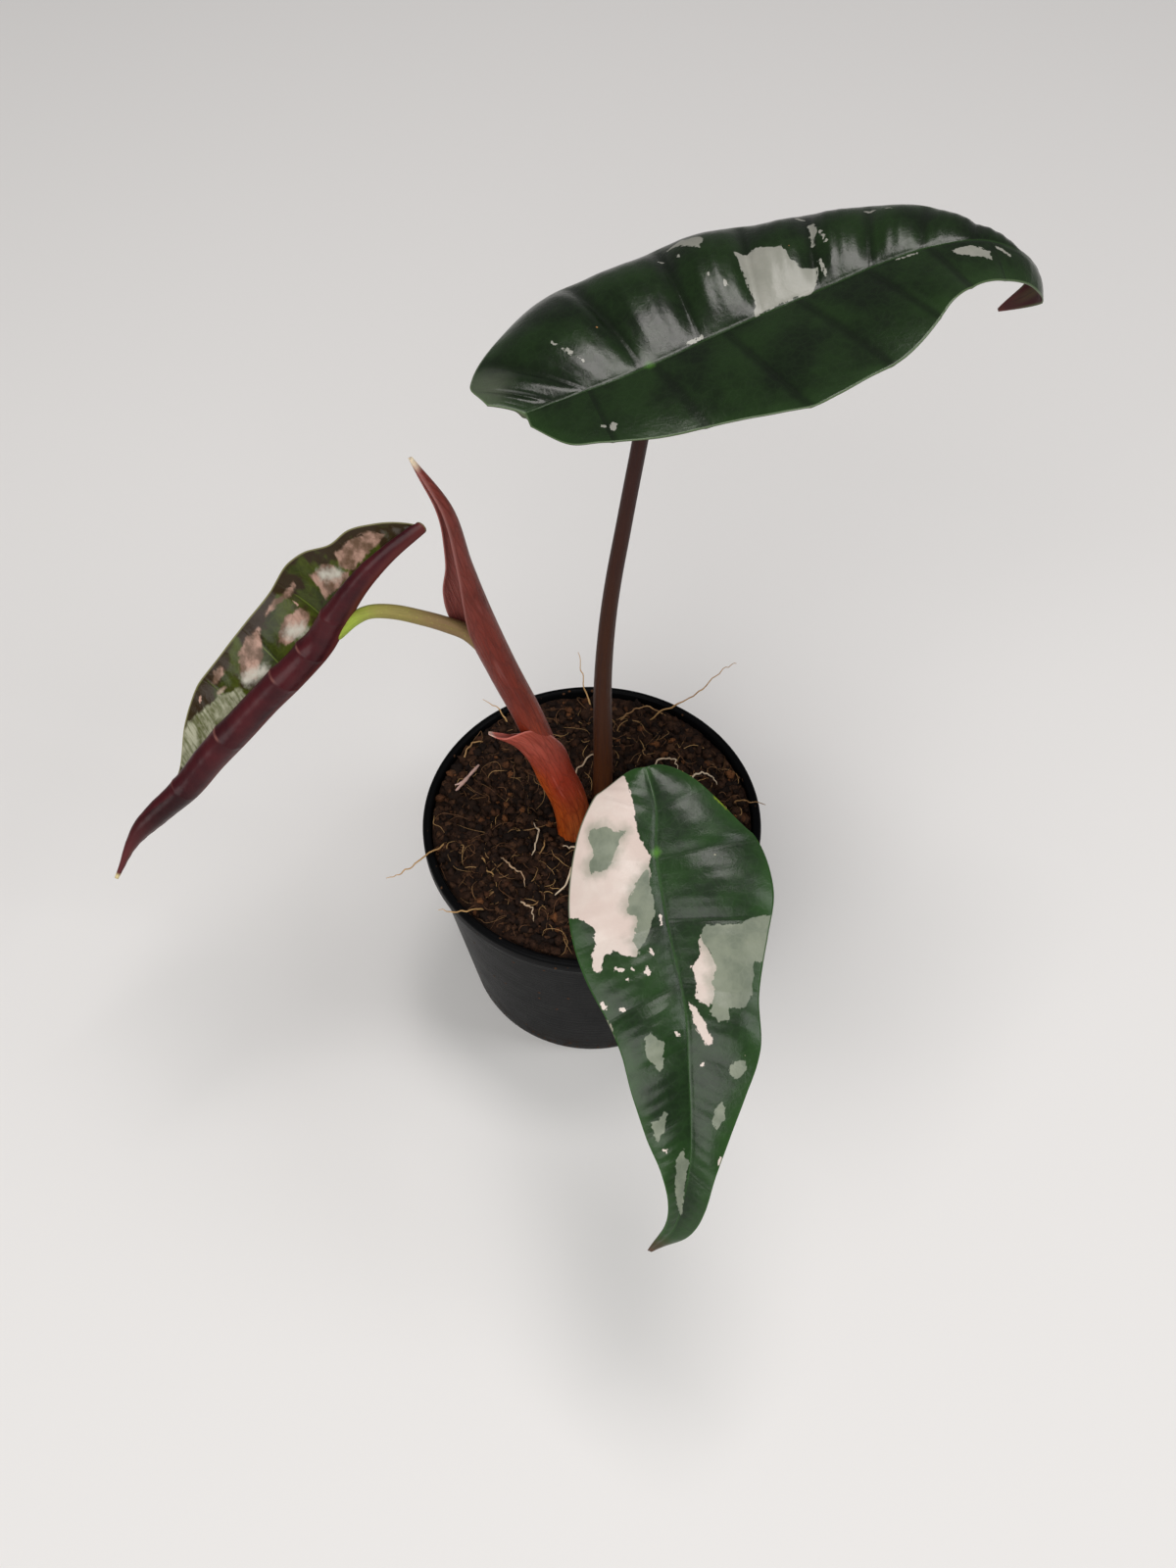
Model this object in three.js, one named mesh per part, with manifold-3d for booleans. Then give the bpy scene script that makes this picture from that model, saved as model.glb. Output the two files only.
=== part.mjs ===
// A young variegated Alocasia chantrieri in its nursery pot, in millimetres, +Z up.
// The origin is the middle of the pot's flat underside. +Y points away from the viewer, who looks down at the plant.
import * as THREE from 'three';
import { mergeVertices } from 'three/addons/utils/BufferGeometryUtils.js';
import Module from 'manifold-3d';

const wasm = await Module();
wasm.setup();

// Pot
const POT_HEIGHT = 78;
const RIM_RADIUS = 52.5;
const BASE_RADIUS = 40;
const WALL = 1.1;
const LIP_WIDTH = 2.6;
const LIP_HEIGHT = 4.5;
const FLOOR_THICKNESS = 1.4;
const DRAIN_COUNT = 6;
const DRAIN_RADIUS = 4;
const DRAIN_RING = 27;
const POT_SEGMENTS = 48;

// Potting mix
const GAP = 0.3;
const SOIL_LEVEL = 74;
const SOIL_MOUND = 1.6;
const SOIL_LUMP = 1.1;
const SOIL_RINGS = 9;
const SOIL_SEGMENTS = 36;
const COIR_COUNT = 12;
const COIR_RADIUS = 0.42;

// Crown of the plant
const CROWN = new THREE.Vector3(-0.5, 0, 0);
const CROWN_TOP = 66;
const CROWN_DEPTH = 22;
const CROWN_RADIUS = 9.5;
const STEM_FOOT = CROWN_TOP - 1;

// Blades
const BLADE_THICKNESS = 0.7;
const MIDRIB_RADIUS = 1.7;
const BLADE_COLUMN_SPACING = 1.15;
const SHEATH_THICKNESS = 0.65;
const SHEATH_HOLE_RADIUS = 5.8;
const STALK_SIDES = 9;

// Each blade is a set of rows. A row leaves the midrib (the spine) at its sweep angle, climbs at its rise angle and
// turns by its curl angle before the margin. Left and right are seen along the midrib, from base to tip, from above.
// Lists of keys are spread evenly from the base of the blade to its tip. Angles are in degrees.
const backLeaf = {
  spine: [
    [-16.5, 9, 239.5], [-4, 13.5, 241.5], [8.5, 18.5, 243], [20.5, 24.5, 244.5], [32.5, 30, 247], [45, 34.5, 250],
    [57.5, 39, 253], [70, 43, 256.5], [83, 45.5, 260], [96, 46.5, 261], [107.5, 47.5, 255], [113, 49.5, 244],
    [104, 50, 236],
  ],
  across: [0, 1, 0],
  left: {
    width: [9, 29, 39.5, 38.5, 35.5, 32, 29.5, 22.5, 15.5, 11, 7.5, 5, 0.6],
    sweep: [-84, -44, -8, 6, 10, 14, 18, 20, 18, 14, 8, 0, 0],
    rise: [30, 12, 8, 8, 8, 8, 8, 8, 4, -6, -16, -20, -20],
    curl: [-50, -26, -18, -14, -14, -14, -16, -20, -24, -30, -30, -30, -30],
    veins: [0, 0.1, 0.19, 0.29, 0.39, 0.485, 0.57, 0.65, 0.73, 0.82, 1],
    quilt: 2,
  },
  right: {
    width: [5.5, 16.5, 22.5, 28, 37, 35.5, 32.5, 25.5, 18.5, 12.5, 8, 5.5, 0.6],
    sweep: [-2, -2, 0, 4, 10, 16, 18, 20, 18, 14, 8, 0, 0],
    rise: [8, 8, 8, 8, 8, 8, 8, 6, 4, 0, 0, 0, 0],
    curl: [-50, -44, -36, -30, -26, -24, -22, -20, -20, -20, -20, -20, -20],
    veins: [0, 0.1, 0.21, 0.33, 0.45, 0.56, 0.66, 0.76, 1],
    quilt: 0.9,
  },
  ripple: 0.8,
  waves: 3.5,
  rows: 30,
  columns: 7,
};

const frontLeaf = {
  spine: [
    [14, -39, 159.5], [16.5, -49.5, 156], [16.5, -60, 151], [18, -70.5, 146.5], [20, -80.5, 142], [22.5, -91.5, 138],
    [24, -102, 134], [24.5, -111.5, 128], [25, -120, 120.5], [25, -128, 112], [23.5, -134.5, 103], [21, -139.5, 93],
    [15, -142, 84],
  ],
  across: [1, 0, 0],
  left: {
    width: [6, 14, 26.5, 29, 25, 20.5, 19.5, 15.5, 11.5, 8, 7, 4.5, 0.6],
    sweep: [-38, -22, -8, 4, 12, 18, 22, 26, 28, 30, 30, 20, 0],
    rise: [6, 8, 10, 12, 12, 12, 12, 12, 12, 14, 14, 10, 0],
    curl: [-40, -30, -26, -24, -24, -24, -22, -18, -12, -10, -10, 0, 0],
    veins: [0, 0.09, 0.18, 0.3, 0.42, 0.54, 0.66, 0.78, 0.9, 1],
    quilt: 1.2,
  },
  right: {
    width: [5, 13.5, 20, 25, 24.5, 21.5, 18.5, 16, 13, 8.5, 4.5, 2.5, 0.6],
    sweep: [-38, -22, -8, 4, 12, 18, 22, 26, 28, 30, 30, 20, 0],
    rise: [6, 8, 10, 12, 12, 12, 12, 12, 12, 14, 14, 10, 0],
    curl: [-40, -30, -26, -24, -24, -24, -22, -18, -12, -10, -10, 0, 0],
    veins: [0, 0.09, 0.18, 0.3, 0.42, 0.54, 0.66, 0.78, 0.9, 1],
    quilt: 0.8,
  },
  ripple: 0.6,
  waves: 4,
  rows: 26,
  columns: 6,
};

// The young leaf is still rolled: its left half winds into a tube over the open right half.
const youngLeaf = {
  spine: [
    [-45, 12, 196], [-53.5, 8, 189.5], [-61, 4.5, 181], [-67, 1.5, 171], [-72.5, -1, 161], [-80.5, -5.5, 153],
    [-88.5, -9.5, 146], [-96.5, -13.5, 138], [-104.5, -17.5, 130.5], [-112.5, -22, 122.5], [-121.5, -26.5, 117],
    [-130.5, -32, 111.5], [-136.5, -38, 103.5],
  ],
  across: [-0.1, -0.85, 0.5],
  left: {
    width: [5, 13, 20, 24, 25, 25, 25, 25, 25, 22, 17, 11, 0.8],
    sweep: [-50, -25, -5, 5, 8, 10, 12, 14, 16, 18, 20, 20, 0],
    rise: [0],
    curl: [300, 380, 390, 390, 390, 390, 390, 390, 390, 390, 390, 390, 390],
    bend: 1.3,
  },
  right: {
    width: [3, 9.5, 16, 24.5, 27, 26, 24.5, 23.5, 19.5, 13, 9, 5.5, 0.8],
    sweep: [-20, -20, -5, 5, 8, 10, 12, 14, 16, 18, 20, 20, 0],
    rise: [0, 0, 0, 0, 0, 0, 0, 0, -10, -30, -55, -55, -55],
    curl: [95],
    bend: 0.5,
    veins: [0, 0.15, 0.3, 0.43, 0.56, 0.7, 1],
    quilt: 0.8,
  },
  ripple: 0.6,
  waves: 3,
  rows: 24,
  columns: 9,
};

// The tall sheath is a rolled bract: a closed tube below, a gutter above the young leaf's stalk, then a point. A rolled
// blade gives the centre line of its roll in place of its midrib, with the radius of the roll along it.
const tallSheath = {
  spine: [
    [-5, -3, 70], [-6.6, -3, 91], [-12.5, -2, 111], [-18.5, 0, 131], [-25, 1, 151], [-31, 2.3, 171], [-34.5, 4, 190],
    [-37.5, 5.5, 209], [-45.5, 8, 225],
  ],
  roll: [3.7, 3.7, 3.7, 3.7, 3.75, 3.9, 2.6, 1.6, 0.3],
  across: [-0.38, 0.89, -0.18],
  left: {
    width: [11.4, 11.4, 11.4, 11.4, 10.6, 10.2, 6, 3.4, 0.6],
    sweep: [0],
    rise: [0],
    curl: [176, 176, 176, 176, 160, 120, 140, 140, 100],
  },
  right: {
    width: [11.4, 11.4, 11.4, 11.4, 10, 7.5, 5, 3.2, 0.6],
    sweep: [0],
    rise: [0],
    curl: [176, 176, 176, 176, 150, 116, 130, 140, 100],
  },
  rows: 18,
  columns: 6,
};

// The short sheath wraps the foot of the tall one and ends in a point that bends away to the left.
const shortSheath = {
  spine: [
    ...[0.02, 0.085, 0.15, 0.215, 0.28].map((s) => pointAlong(tallSheath.spine, s).toArray()),
    [-19.5, -1.9, 125], [-26, -2.6, 129],
  ],
  roll: [4.9, 4.9, 4.95, 5.1, 5.1, 4.7, 3.4],
  across: [0.43, -0.89, 0.14],
  left: {
    width: [14.4, 14.4, 14.6, 14.6, 11.7, 4.5, 0.6],
    sweep: [0, 0, 0, 0, 6, 20, 0],
    rise: [0],
    curl: [168, 168, 168, 164, 130, 50, 20],
  },
  right: {
    width: [14.4, 14.4, 14.6, 14.3, 10.4, 4, 0.6],
    sweep: [0, 0, 0, 0, 6, 20, 0],
    rise: [0],
    curl: [168, 168, 168, 160, 116, 46, 20],
  },
  rows: 11,
  columns: 6,
};

// Leaf stalks: centre lines from the crown to the blade, and radii along them.
const backStalk = {
  path: [
    [2.6, 5, STEM_FOOT], [3, 3.2, 86], [3.3, 1.8, 104], [3.1, 2.6, 121], [3, 4.7, 138], [3.5, 7, 151.5],
    [4.5, 9.5, 165], [6, 12, 178], [8, 14.5, 192], [9.8, 16.5, 205], [11.8, 18.7, 219], [13.4, 20.2, 232],
    [14.4, 21, 247],
  ],
  radii: [3.3, 3, 2.75, 2.5, 2.3, 2.2, 2.1],
  rings: 18,
};
const frontStalk = {
  path: [
    [4.8, -4.5, STEM_FOOT], [7, -6.5, 84], [9.6, -10.5, 101], [12, -17, 117], [14, -26, 131], [15.6, -37, 141.5],
    [16.4, -48, 147], [16.6, -57, 149], [16.4, -64, 151.5],
  ],
  radii: [3.2, 2.9, 2.6, 2.4, 2.2, 2.1],
  rings: 13,
};
const youngStalk = {
  path: [
    [-5, -3, STEM_FOOT], [-6.6, -2.9, 90], [-12.6, -1.9, 110], [-18.6, 0.1, 131], [-24.2, 0.9, 148],
    [-28.6, 1.2, 158], [-33.6, 1, 166], [-39.5, 0.5, 170.4], [-46, 0.4, 173.4], [-53, 0.8, 175.2], [-59.5, 1.4, 174.6],
    [-64.5, 1.6, 171.2], [-69.5, 1.2, 166],
  ],
  radii: [2.9, 2.7, 2.6, 2.5, 2.3, 2.1, 2, 1.9, 2.1],
  rings: 22,
};

// Roots and long coir strands that stand out of the mix, each a list of points by hand.
const STRANDS = [
  [[15.4, 39, 69.5], [21, 40.5, 77], [27, 41, 81], [34, 44, 83.5], [41, 50, 86.5], [46.5, 52.5, 88]],
  [[0.7, 44, 69.5], [-0.8, 45.5, 77], [-2.8, 50, 82.5], [-4.4, 58, 87]],
  [[-26, 36, 69.5], [-27, 38, 75], [-30, 40.5, 79.5], [-35, 43, 81.5]],
  [[-40, 21, 69.5], [-41, 25, 74.5], [-37.5, 30, 76], [-33, 31, 73.5], [-31, 29, 69.5]],
  [[-44.5, -3.7, 69.5], [-46, -8.9, 76], [-52.4, -19, 81.5], [-57, -24, 83], [-61.5, -26.5, 84]],
  [[-31, -30, 69.5], [-34, -33, 77], [-40, -36.5, 81.5], [-45.5, -37, 83]],
  [[43, 9.5, 69.5], [46.5, 6.5, 77.5], [53.5, 1.5, 82]],
  [[8, 38, 69.5], [10, 41, 74], [16, 43, 77.5], [23, 42.5, 75], [26.5, 40.5, 69.5]],
  [[-35.3, -8.8, 69.5], [-33.8, -12.6, 74], [-31.2, -18.6, 75], [-25.7, -22.2, 74], [-24.8, -26.6, 69.5]],
  [[-20.1, -20.7, 69.5], [-16.9, -13.7, 74.5], [-14, -6.5, 75.5], [-15, 3, 69.5]],
];

/** A seeded random number source, the same on every run. */
function randomSource(seed) {
  let state = seed;
  return () => {
    state = (state + 0x6d2b79f5) | 0;
    let mixed = Math.imul(state ^ (state >>> 15), 1 | state);
    mixed = (mixed + Math.imul(mixed ^ (mixed >>> 7), 61 | mixed)) ^ mixed;
    return ((mixed ^ (mixed >>> 14)) >>> 0) / 4294967296;
  };
}

/** The value at s, from 0 to 1, of a smooth curve through evenly spread keys. */
function along(keys, s) {
  const last = keys.length - 1;
  if (last === 0) return keys[0];
  const place = Math.min(Math.max(s, 0), 1) * last;
  const index = Math.min(Math.floor(place), last - 1);
  const f = place - index;
  const p1 = keys[index];
  const p2 = keys[index + 1];
  const p0 = index > 0 ? keys[index - 1] : 2 * p1 - p2;
  const p3 = index + 2 <= last ? keys[index + 2] : 2 * p2 - p1;
  return p1 + 0.5 * f * (p2 - p0 + f * (2 * p0 - 5 * p1 + 4 * p2 - p3 + f * (3 * (p1 - p2) + p3 - p0)));
}

/** The point at s of a smooth curve through evenly spread points. */
function pointAlong(points, s) {
  const axis = (k) => along(points.map((point) => point[k]), s);
  return new THREE.Vector3(axis(0), axis(1), axis(2));
}

/** The unit direction of that curve at s. */
function directionAlong(points, s) {
  const step = 1e-3;
  return pointAlong(points, Math.min(s + step, 1)).sub(pointAlong(points, Math.max(s - step, 0))).normalize();
}

/** Height of the blade's relief at row s and at u, the share of the way from midrib to margin. */
function reliefHeight(leaf, half, s, u) {
  let height = leaf.ripple ? leaf.ripple * Math.sin(2 * Math.PI * leaf.waves * s) * u ** 3 : 0;
  if (half.veins) {
    const next = Math.max(1, half.veins.findIndex((vein) => vein > s));
    const start = half.veins[next - 1];
    const between = (s - start) / (half.veins[next] - start);
    height += half.quilt * Math.sin(Math.PI * Math.min(between, 1)) * (4 * u * (1 - u)) ** 0.7;
  }
  return height;
}

/** One row of a blade's upper face, from the right margin over the midrib to the left margin. */
function bladeRow(leaf, s, columns) {
  const spinePoint = pointAlong(leaf.spine, s);
  const forward = directionAlong(leaf.spine, s);
  const up = new THREE.Vector3().crossVectors(forward, new THREE.Vector3(...leaf.across)).normalize();
  const toLeft = new THREE.Vector3().crossVectors(up, forward);
  if (leaf.roll) spinePoint.addScaledVector(up, -along(leaf.roll, s));
  const row = [{ point: spinePoint, normal: up, u: 0 }];
  for (const [half, sign] of [[leaf.left, 1], [leaf.right, -1]]) {
    const sweep = THREE.MathUtils.degToRad(along(half.sweep, s));
    const rise = THREE.MathUtils.degToRad(along(half.rise, s));
    const curl = THREE.MathUtils.degToRad(along(half.curl, s));
    const width = along(half.width, s);
    const bend = half.bend ?? 1;
    const outward = toLeft.clone().multiplyScalar(sign * Math.cos(sweep)).addScaledVector(forward, Math.sin(sweep));
    const steps = 5;
    const place = spinePoint.clone();
    for (let column = 1; column <= columns; column++) {
      const from = ((column - 1) / columns) ** BLADE_COLUMN_SPACING;
      const to = (column / columns) ** BLADE_COLUMN_SPACING;
      for (let k = 0; k < steps; k++) {
        const angle = rise + curl * (from + ((to - from) * (k + 0.5)) / steps) ** bend;
        const length = (width * (to - from)) / steps;
        place.addScaledVector(outward, length * Math.cos(angle)).addScaledVector(up, length * Math.sin(angle));
      }
      const angle = rise + curl * to ** bend;
      const normal = up.clone().multiplyScalar(Math.cos(angle)).addScaledVector(outward, -Math.sin(angle));
      const point = place.clone().addScaledVector(normal, reliefHeight(leaf, half, s, to));
      row[sign > 0 ? 'push' : 'unshift']({ point, normal, u: sign * to });
    }
  }
  return row;
}

/** A blade as one closed slab: an upper and a lower face split into triangles alike, joined all round. */
function bladeGeometry(leaf, rows, columns, thickness, ribDepth, above = 0) {
  const upper = [];
  const lower = [];
  for (let r = 0; r <= rows; r++) {
    for (const { point, normal, u } of bladeRow(leaf, r / rows, columns)) {
      const rib = ribDepth * (1 - r / rows) * Math.max(0, 1 - Math.abs(u) * columns * 0.9);
      upper.push(point.clone().addScaledVector(normal, above));
      lower.push(point.clone().addScaledVector(normal, -thickness - rib));
    }
  }
  const across = 2 * columns + 1;
  const offset = upper.length;
  const index = [];
  const quad = (a, b, c, d) => index.push(a, b, c, a, c, d);
  for (let r = 0; r < rows; r++) {
    for (let c = 0; c < across - 1; c++) {
      const a = r * across + c;
      const b = a + across;
      quad(a, a + 1, b + 1, b);
      quad(offset + b, offset + b + 1, offset + a + 1, offset + a);
    }
    const left = r * across + across - 1;
    const right = r * across;
    quad(left, offset + left, offset + left + across, left + across);
    quad(right + across, offset + right + across, offset + right, right);
  }
  for (let c = 0; c < across - 1; c++) {
    const tip = rows * across + c;
    quad(c + 1, c, offset + c, offset + c + 1);
    quad(tip, tip + 1, offset + tip + 1, offset + tip);
  }
  return closedGeometry([...upper, ...lower], index);
}

/** A round stalk, root or strand along a smooth path, with its radius from evenly spread keys and domed ends. */
function stalkGeometry(path, radii, rings, sides, grow = 0) {
  const points = [];
  const index = [];
  let side = new THREE.Vector3(1, 0.2, 0);
  for (let r = 0; r <= rings; r++) {
    const s = r / rings;
    const centre = pointAlong(path, s);
    const forward = directionAlong(path, s);
    side = side.clone().addScaledVector(forward, -side.dot(forward)).normalize();
    const other = new THREE.Vector3().crossVectors(forward, side);
    const radius = along(radii, s) + grow;
    for (let k = 0; k < sides; k++) {
      const angle = (2 * Math.PI * k) / sides;
      points.push(centre.clone()
        .addScaledVector(side, radius * Math.cos(angle))
        .addScaledVector(other, radius * Math.sin(angle)));
    }
  }
  for (let r = 0; r < rings; r++) {
    for (let k = 0; k < sides; k++) {
      const a = r * sides + k;
      const b = r * sides + ((k + 1) % sides);
      index.push(a, b, b + sides, a, b + sides, a + sides);
    }
  }
  for (let k = 1; k < sides - 1; k++) {
    index.push(0, k + 1, k);
    const top = rings * sides;
    index.push(top, top + k, top + k + 1);
  }
  return closedGeometry(points, index);
}

/** A geometry from points and triangles, turned so that its faces point out. */
function closedGeometry(points, index) {
  let volume = 0;
  for (let t = 0; t < index.length; t += 3) {
    const [a, b, c] = [points[index[t]], points[index[t + 1]], points[index[t + 2]]];
    volume += a.dot(new THREE.Vector3().crossVectors(b, c));
  }
  const geometry = new THREE.BufferGeometry().setFromPoints(points);
  geometry.setIndex(volume < 0 ? index.slice().reverse() : index);
  return geometry;
}

/** A three.js geometry as a solid that can be joined and cut. */
function toSolid(geometry) {
  const bare = new THREE.BufferGeometry();
  bare.setAttribute('position', geometry.getAttribute('position').clone());
  bare.setIndex(geometry.getIndex());
  const merged = mergeVertices(bare, 1e-4);
  const mesh = new wasm.Mesh({
    numProp: 3,
    vertProperties: Float32Array.from(merged.getAttribute('position').array),
    triVerts: Uint32Array.from(merged.getIndex().array),
  });
  return new wasm.Manifold(mesh);
}

/** A joined or cut solid as a three.js geometry. */
function toGeometry(solid) {
  const mesh = solid.getMesh();
  const geometry = new THREE.BufferGeometry();
  geometry.setAttribute('position', new THREE.BufferAttribute(mesh.vertProperties, 3));
  geometry.setIndex(new THREE.BufferAttribute(mesh.triVerts, 1));
  return geometry;
}

/** The largest body of a solid that a cut has split. */
function largestBody(solid) {
  return solid.decompose().reduce((best, body) => (body.volume() > best.volume() ? body : best));
}

/** A profile of [radius, height] pairs turned round the pot's axis. */
function turned(profile, segments) {
  const lathe = new THREE.LatheGeometry(profile.map(([r, z]) => new THREE.Vector2(r, z)), segments);
  return lathe.rotateX(Math.PI / 2);
}

/** Radius of the pot's outer wall at a height. */
function wallRadius(z) {
  const top = RIM_RADIUS - LIP_WIDTH + WALL;
  return BASE_RADIUS + ((top - BASE_RADIUS) * z) / (POT_HEIGHT - LIP_HEIGHT);
}

/** The thin-walled nursery pot with its rolled lip and drainage holes. */
function potGeometry() {
  const shoulder = POT_HEIGHT - LIP_HEIGHT;
  const inner = RIM_RADIUS - LIP_WIDTH;
  const profile = [
    [0, 0], [BASE_RADIUS - 1, 0], [BASE_RADIUS, 1], [wallRadius(shoulder), shoulder],
    [RIM_RADIUS - 0.4, shoulder], [RIM_RADIUS, shoulder + 0.6], [RIM_RADIUS, POT_HEIGHT - 1],
    [RIM_RADIUS - 0.5, POT_HEIGHT - 0.2], [RIM_RADIUS - 1.2, POT_HEIGHT], [inner + 0.6, POT_HEIGHT],
    [inner, POT_HEIGHT - 0.6], [inner, shoulder], [BASE_RADIUS - WALL, FLOOR_THICKNESS], [0, FLOOR_THICKNESS],
  ];
  let pot = toSolid(turned(profile, POT_SEGMENTS));
  for (let k = 0; k < DRAIN_COUNT; k++) {
    const angle = (2 * Math.PI * k) / DRAIN_COUNT;
    const drain = new THREE.CylinderGeometry(DRAIN_RADIUS, DRAIN_RADIUS, 4 * FLOOR_THICKNESS, 12);
    drain.rotateX(Math.PI / 2);
    drain.translate(DRAIN_RING * Math.cos(angle), DRAIN_RING * Math.sin(angle), 0);
    pot = pot.subtract(toSolid(drain));
  }
  return toGeometry(pot);
}

/** The potting mix: a lumpy fill whose foot follows the pot, with the strands fused in and a hole for each stem. */
function soilGeometry(stems) {
  const random = randomSource(11);
  const points = [];
  const index = [];
  const floor = FLOOR_THICKNESS + GAP;
  const wallGap = WALL + GAP;
  const edge = RIM_RADIUS - LIP_WIDTH - GAP - 0.5;
  const ring = (radius, height, lump) => {
    for (let k = 0; k < SOIL_SEGMENTS; k++) {
      const angle = (2 * Math.PI * k) / SOIL_SEGMENTS;
      const shift = lump * (random() - 0.5);
      points.push(new THREE.Vector3(radius * Math.cos(angle), radius * Math.sin(angle), height + 2 * shift));
    }
  };
  ring(wallRadius(floor) - wallGap - 0.3, floor, 0);
  ring(edge - 0.4, SOIL_LEVEL - 3, 0);
  for (let r = 0; r < SOIL_RINGS; r++) {
    const share = 1 - r / SOIL_RINGS;
    ring(edge * share, SOIL_LEVEL + SOIL_MOUND * (1 - share ** 2), r === 0 ? 0.4 : SOIL_LUMP);
  }
  const rings = SOIL_RINGS + 2;
  for (let r = 0; r < rings - 1; r++) {
    for (let k = 0; k < SOIL_SEGMENTS; k++) {
      const a = r * SOIL_SEGMENTS + k;
      const b = r * SOIL_SEGMENTS + ((k + 1) % SOIL_SEGMENTS);
      index.push(a, b, b + SOIL_SEGMENTS, a, b + SOIL_SEGMENTS, a + SOIL_SEGMENTS);
    }
  }
  const bottom = points.push(new THREE.Vector3(0, 0, floor)) - 1;
  const top = points.push(new THREE.Vector3(0, 0, SOIL_LEVEL + SOIL_MOUND)) - 1;
  const lastRing = (rings - 1) * SOIL_SEGMENTS;
  for (let k = 0; k < SOIL_SEGMENTS; k++) {
    const next = (k + 1) % SOIL_SEGMENTS;
    index.push(bottom, next, k, top, lastRing + k, lastRing + next);
  }
  let soil = toSolid(closedGeometry(points, index));
  for (const path of STRANDS) {
    soil = soil.add(toSolid(stalkGeometry(path, [0.6, 0.5, 0.4], path.length + 1, 4)));
  }
  for (let n = 0; n < COIR_COUNT; n++) {
    soil = soil.add(toSolid(stalkGeometry(coirPath(random), [COIR_RADIUS], 4, 4)));
  }
  for (const stem of stems) {
    soil = soil.subtract(stem);
  }
  return toGeometry(largestBody(soil));
}

/** A short loose strand of coir: a low arch with both feet sunk in the mix. */
function coirPath(random) {
  const angle = 2 * Math.PI * random();
  const radius = 14 + 28 * Math.sqrt(random());
  const heading = 2 * Math.PI * random();
  const reach = 4 + 5 * random();
  const peak = 2 + 2.5 * random();
  const at = (t, z) => {
    const x = radius * Math.cos(angle) + reach * t * Math.cos(heading);
    const y = radius * Math.sin(angle) + reach * t * Math.sin(heading);
    const limit = Math.min(1, 46 / Math.hypot(x, y));
    return [x * limit, y * limit, z];
  };
  return [at(-1, SOIL_LEVEL - 2.5), at(-0.4, SOIL_LEVEL + peak), at(0.4, SOIL_LEVEL + peak), at(1, SOIL_LEVEL - 2.5)];
}

/** The short thick stem in the mix that all the stalks grow from. */
function crownGeometry(grow = 0) {
  const foot = CROWN_TOP - CROWN_DEPTH - grow;
  const profile = [
    [0, foot], [CROWN_RADIUS * 0.55 + grow, foot + 1.5], [CROWN_RADIUS + grow, foot + 8],
    [CROWN_RADIUS * 0.96 + grow, CROWN_TOP - 2], [CROWN_RADIUS * 0.9 + grow, CROWN_TOP + grow], [0, CROWN_TOP + grow],
  ];
  return turned(profile, 20).translate(CROWN.x, CROWN.y, CROWN.z);
}

/** A stalk cut to the crown below and to the underside of its blade above, with the gap that touching pieces keep. */
function seatedStalk(stalk, leaf) {
  const blade = bladeGeometry(leaf, leaf.rows, leaf.columns, BLADE_THICKNESS + GAP, MIDRIB_RADIUS, GAP);
  const solid = toSolid(stalkGeometry(stalk.path, stalk.radii, stalk.rings, STALK_SIDES));
  return toGeometry(largestBody(solid.subtract(toSolid(blade)).subtract(toSolid(crownGeometry(GAP)))));
}

/** The hole that a stalk needs in the mix. */
function holeFor(stalk) {
  return toSolid(stalkGeometry(stalk.path, stalk.radii, stalk.rings, STALK_SIDES, 1.5 * GAP));
}

const leafBlade = (leaf) => bladeGeometry(leaf, leaf.rows, leaf.columns, BLADE_THICKNESS, MIDRIB_RADIUS);
const sheathBlade = (leaf) => bladeGeometry(leaf, leaf.rows, leaf.columns, SHEATH_THICKNESS, 0);
const leafMaterial = (color) => new THREE.MeshStandardMaterial({ color, roughness: 0.35, metalness: 0 });
const matte = (color) => new THREE.MeshStandardMaterial({ color, roughness: 0.9, metalness: 0 });

const group = new THREE.Group();

function addPiece(name, geometry, material) {
  const mesh = new THREE.Mesh(geometry, material);
  mesh.name = name;
  group.add(mesh);
}

const blackPlastic = new THREE.MeshStandardMaterial({ color: 0x15171a, roughness: 0.45, metalness: 0 });
addPiece('pot', potGeometry(), blackPlastic);

const sheathHole = {
  path: [[-4.2, -3, STEM_FOOT], ...tallSheath.spine.slice(0, 2)],
  radii: [SHEATH_HOLE_RADIUS],
  rings: 2,
};
const stemHoles = [toSolid(crownGeometry(GAP)), holeFor(sheathHole), holeFor(backStalk), holeFor(frontStalk)];
addPiece('potting_mix', soilGeometry(stemHoles), matte(0x3d2a20));
addPiece('crown', crownGeometry(), matte(0x6a4a32));

addPiece('stalk_back', seatedStalk(backStalk, backLeaf), leafMaterial(0x4a2f28));
addPiece('leaf_back', leafBlade(backLeaf), leafMaterial(0x16341c));
addPiece('stalk_front', seatedStalk(frontStalk, frontLeaf), leafMaterial(0x4a2f28));
addPiece('leaf_front', leafBlade(frontLeaf), leafMaterial(0x2a4f30));
addPiece('stalk_young', seatedStalk(youngStalk, youngLeaf), leafMaterial(0x8a9440));
addPiece('leaf_young', leafBlade(youngLeaf), leafMaterial(0x5c2b36));
addPiece('sheath_tall', sheathBlade(tallSheath), leafMaterial(0xa0503f));
addPiece('sheath_short', sheathBlade(shortSheath), leafMaterial(0xb05a42));

export default group;
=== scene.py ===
"""The looks of a young variegated alocasia in its nursery pot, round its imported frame.

Lengths are in millimetres, as in the part's source, and become metres where a mesh is made.
"""
import math

import bpy
import numpy as np
from mathutils import Matrix, Vector, noise


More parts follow.
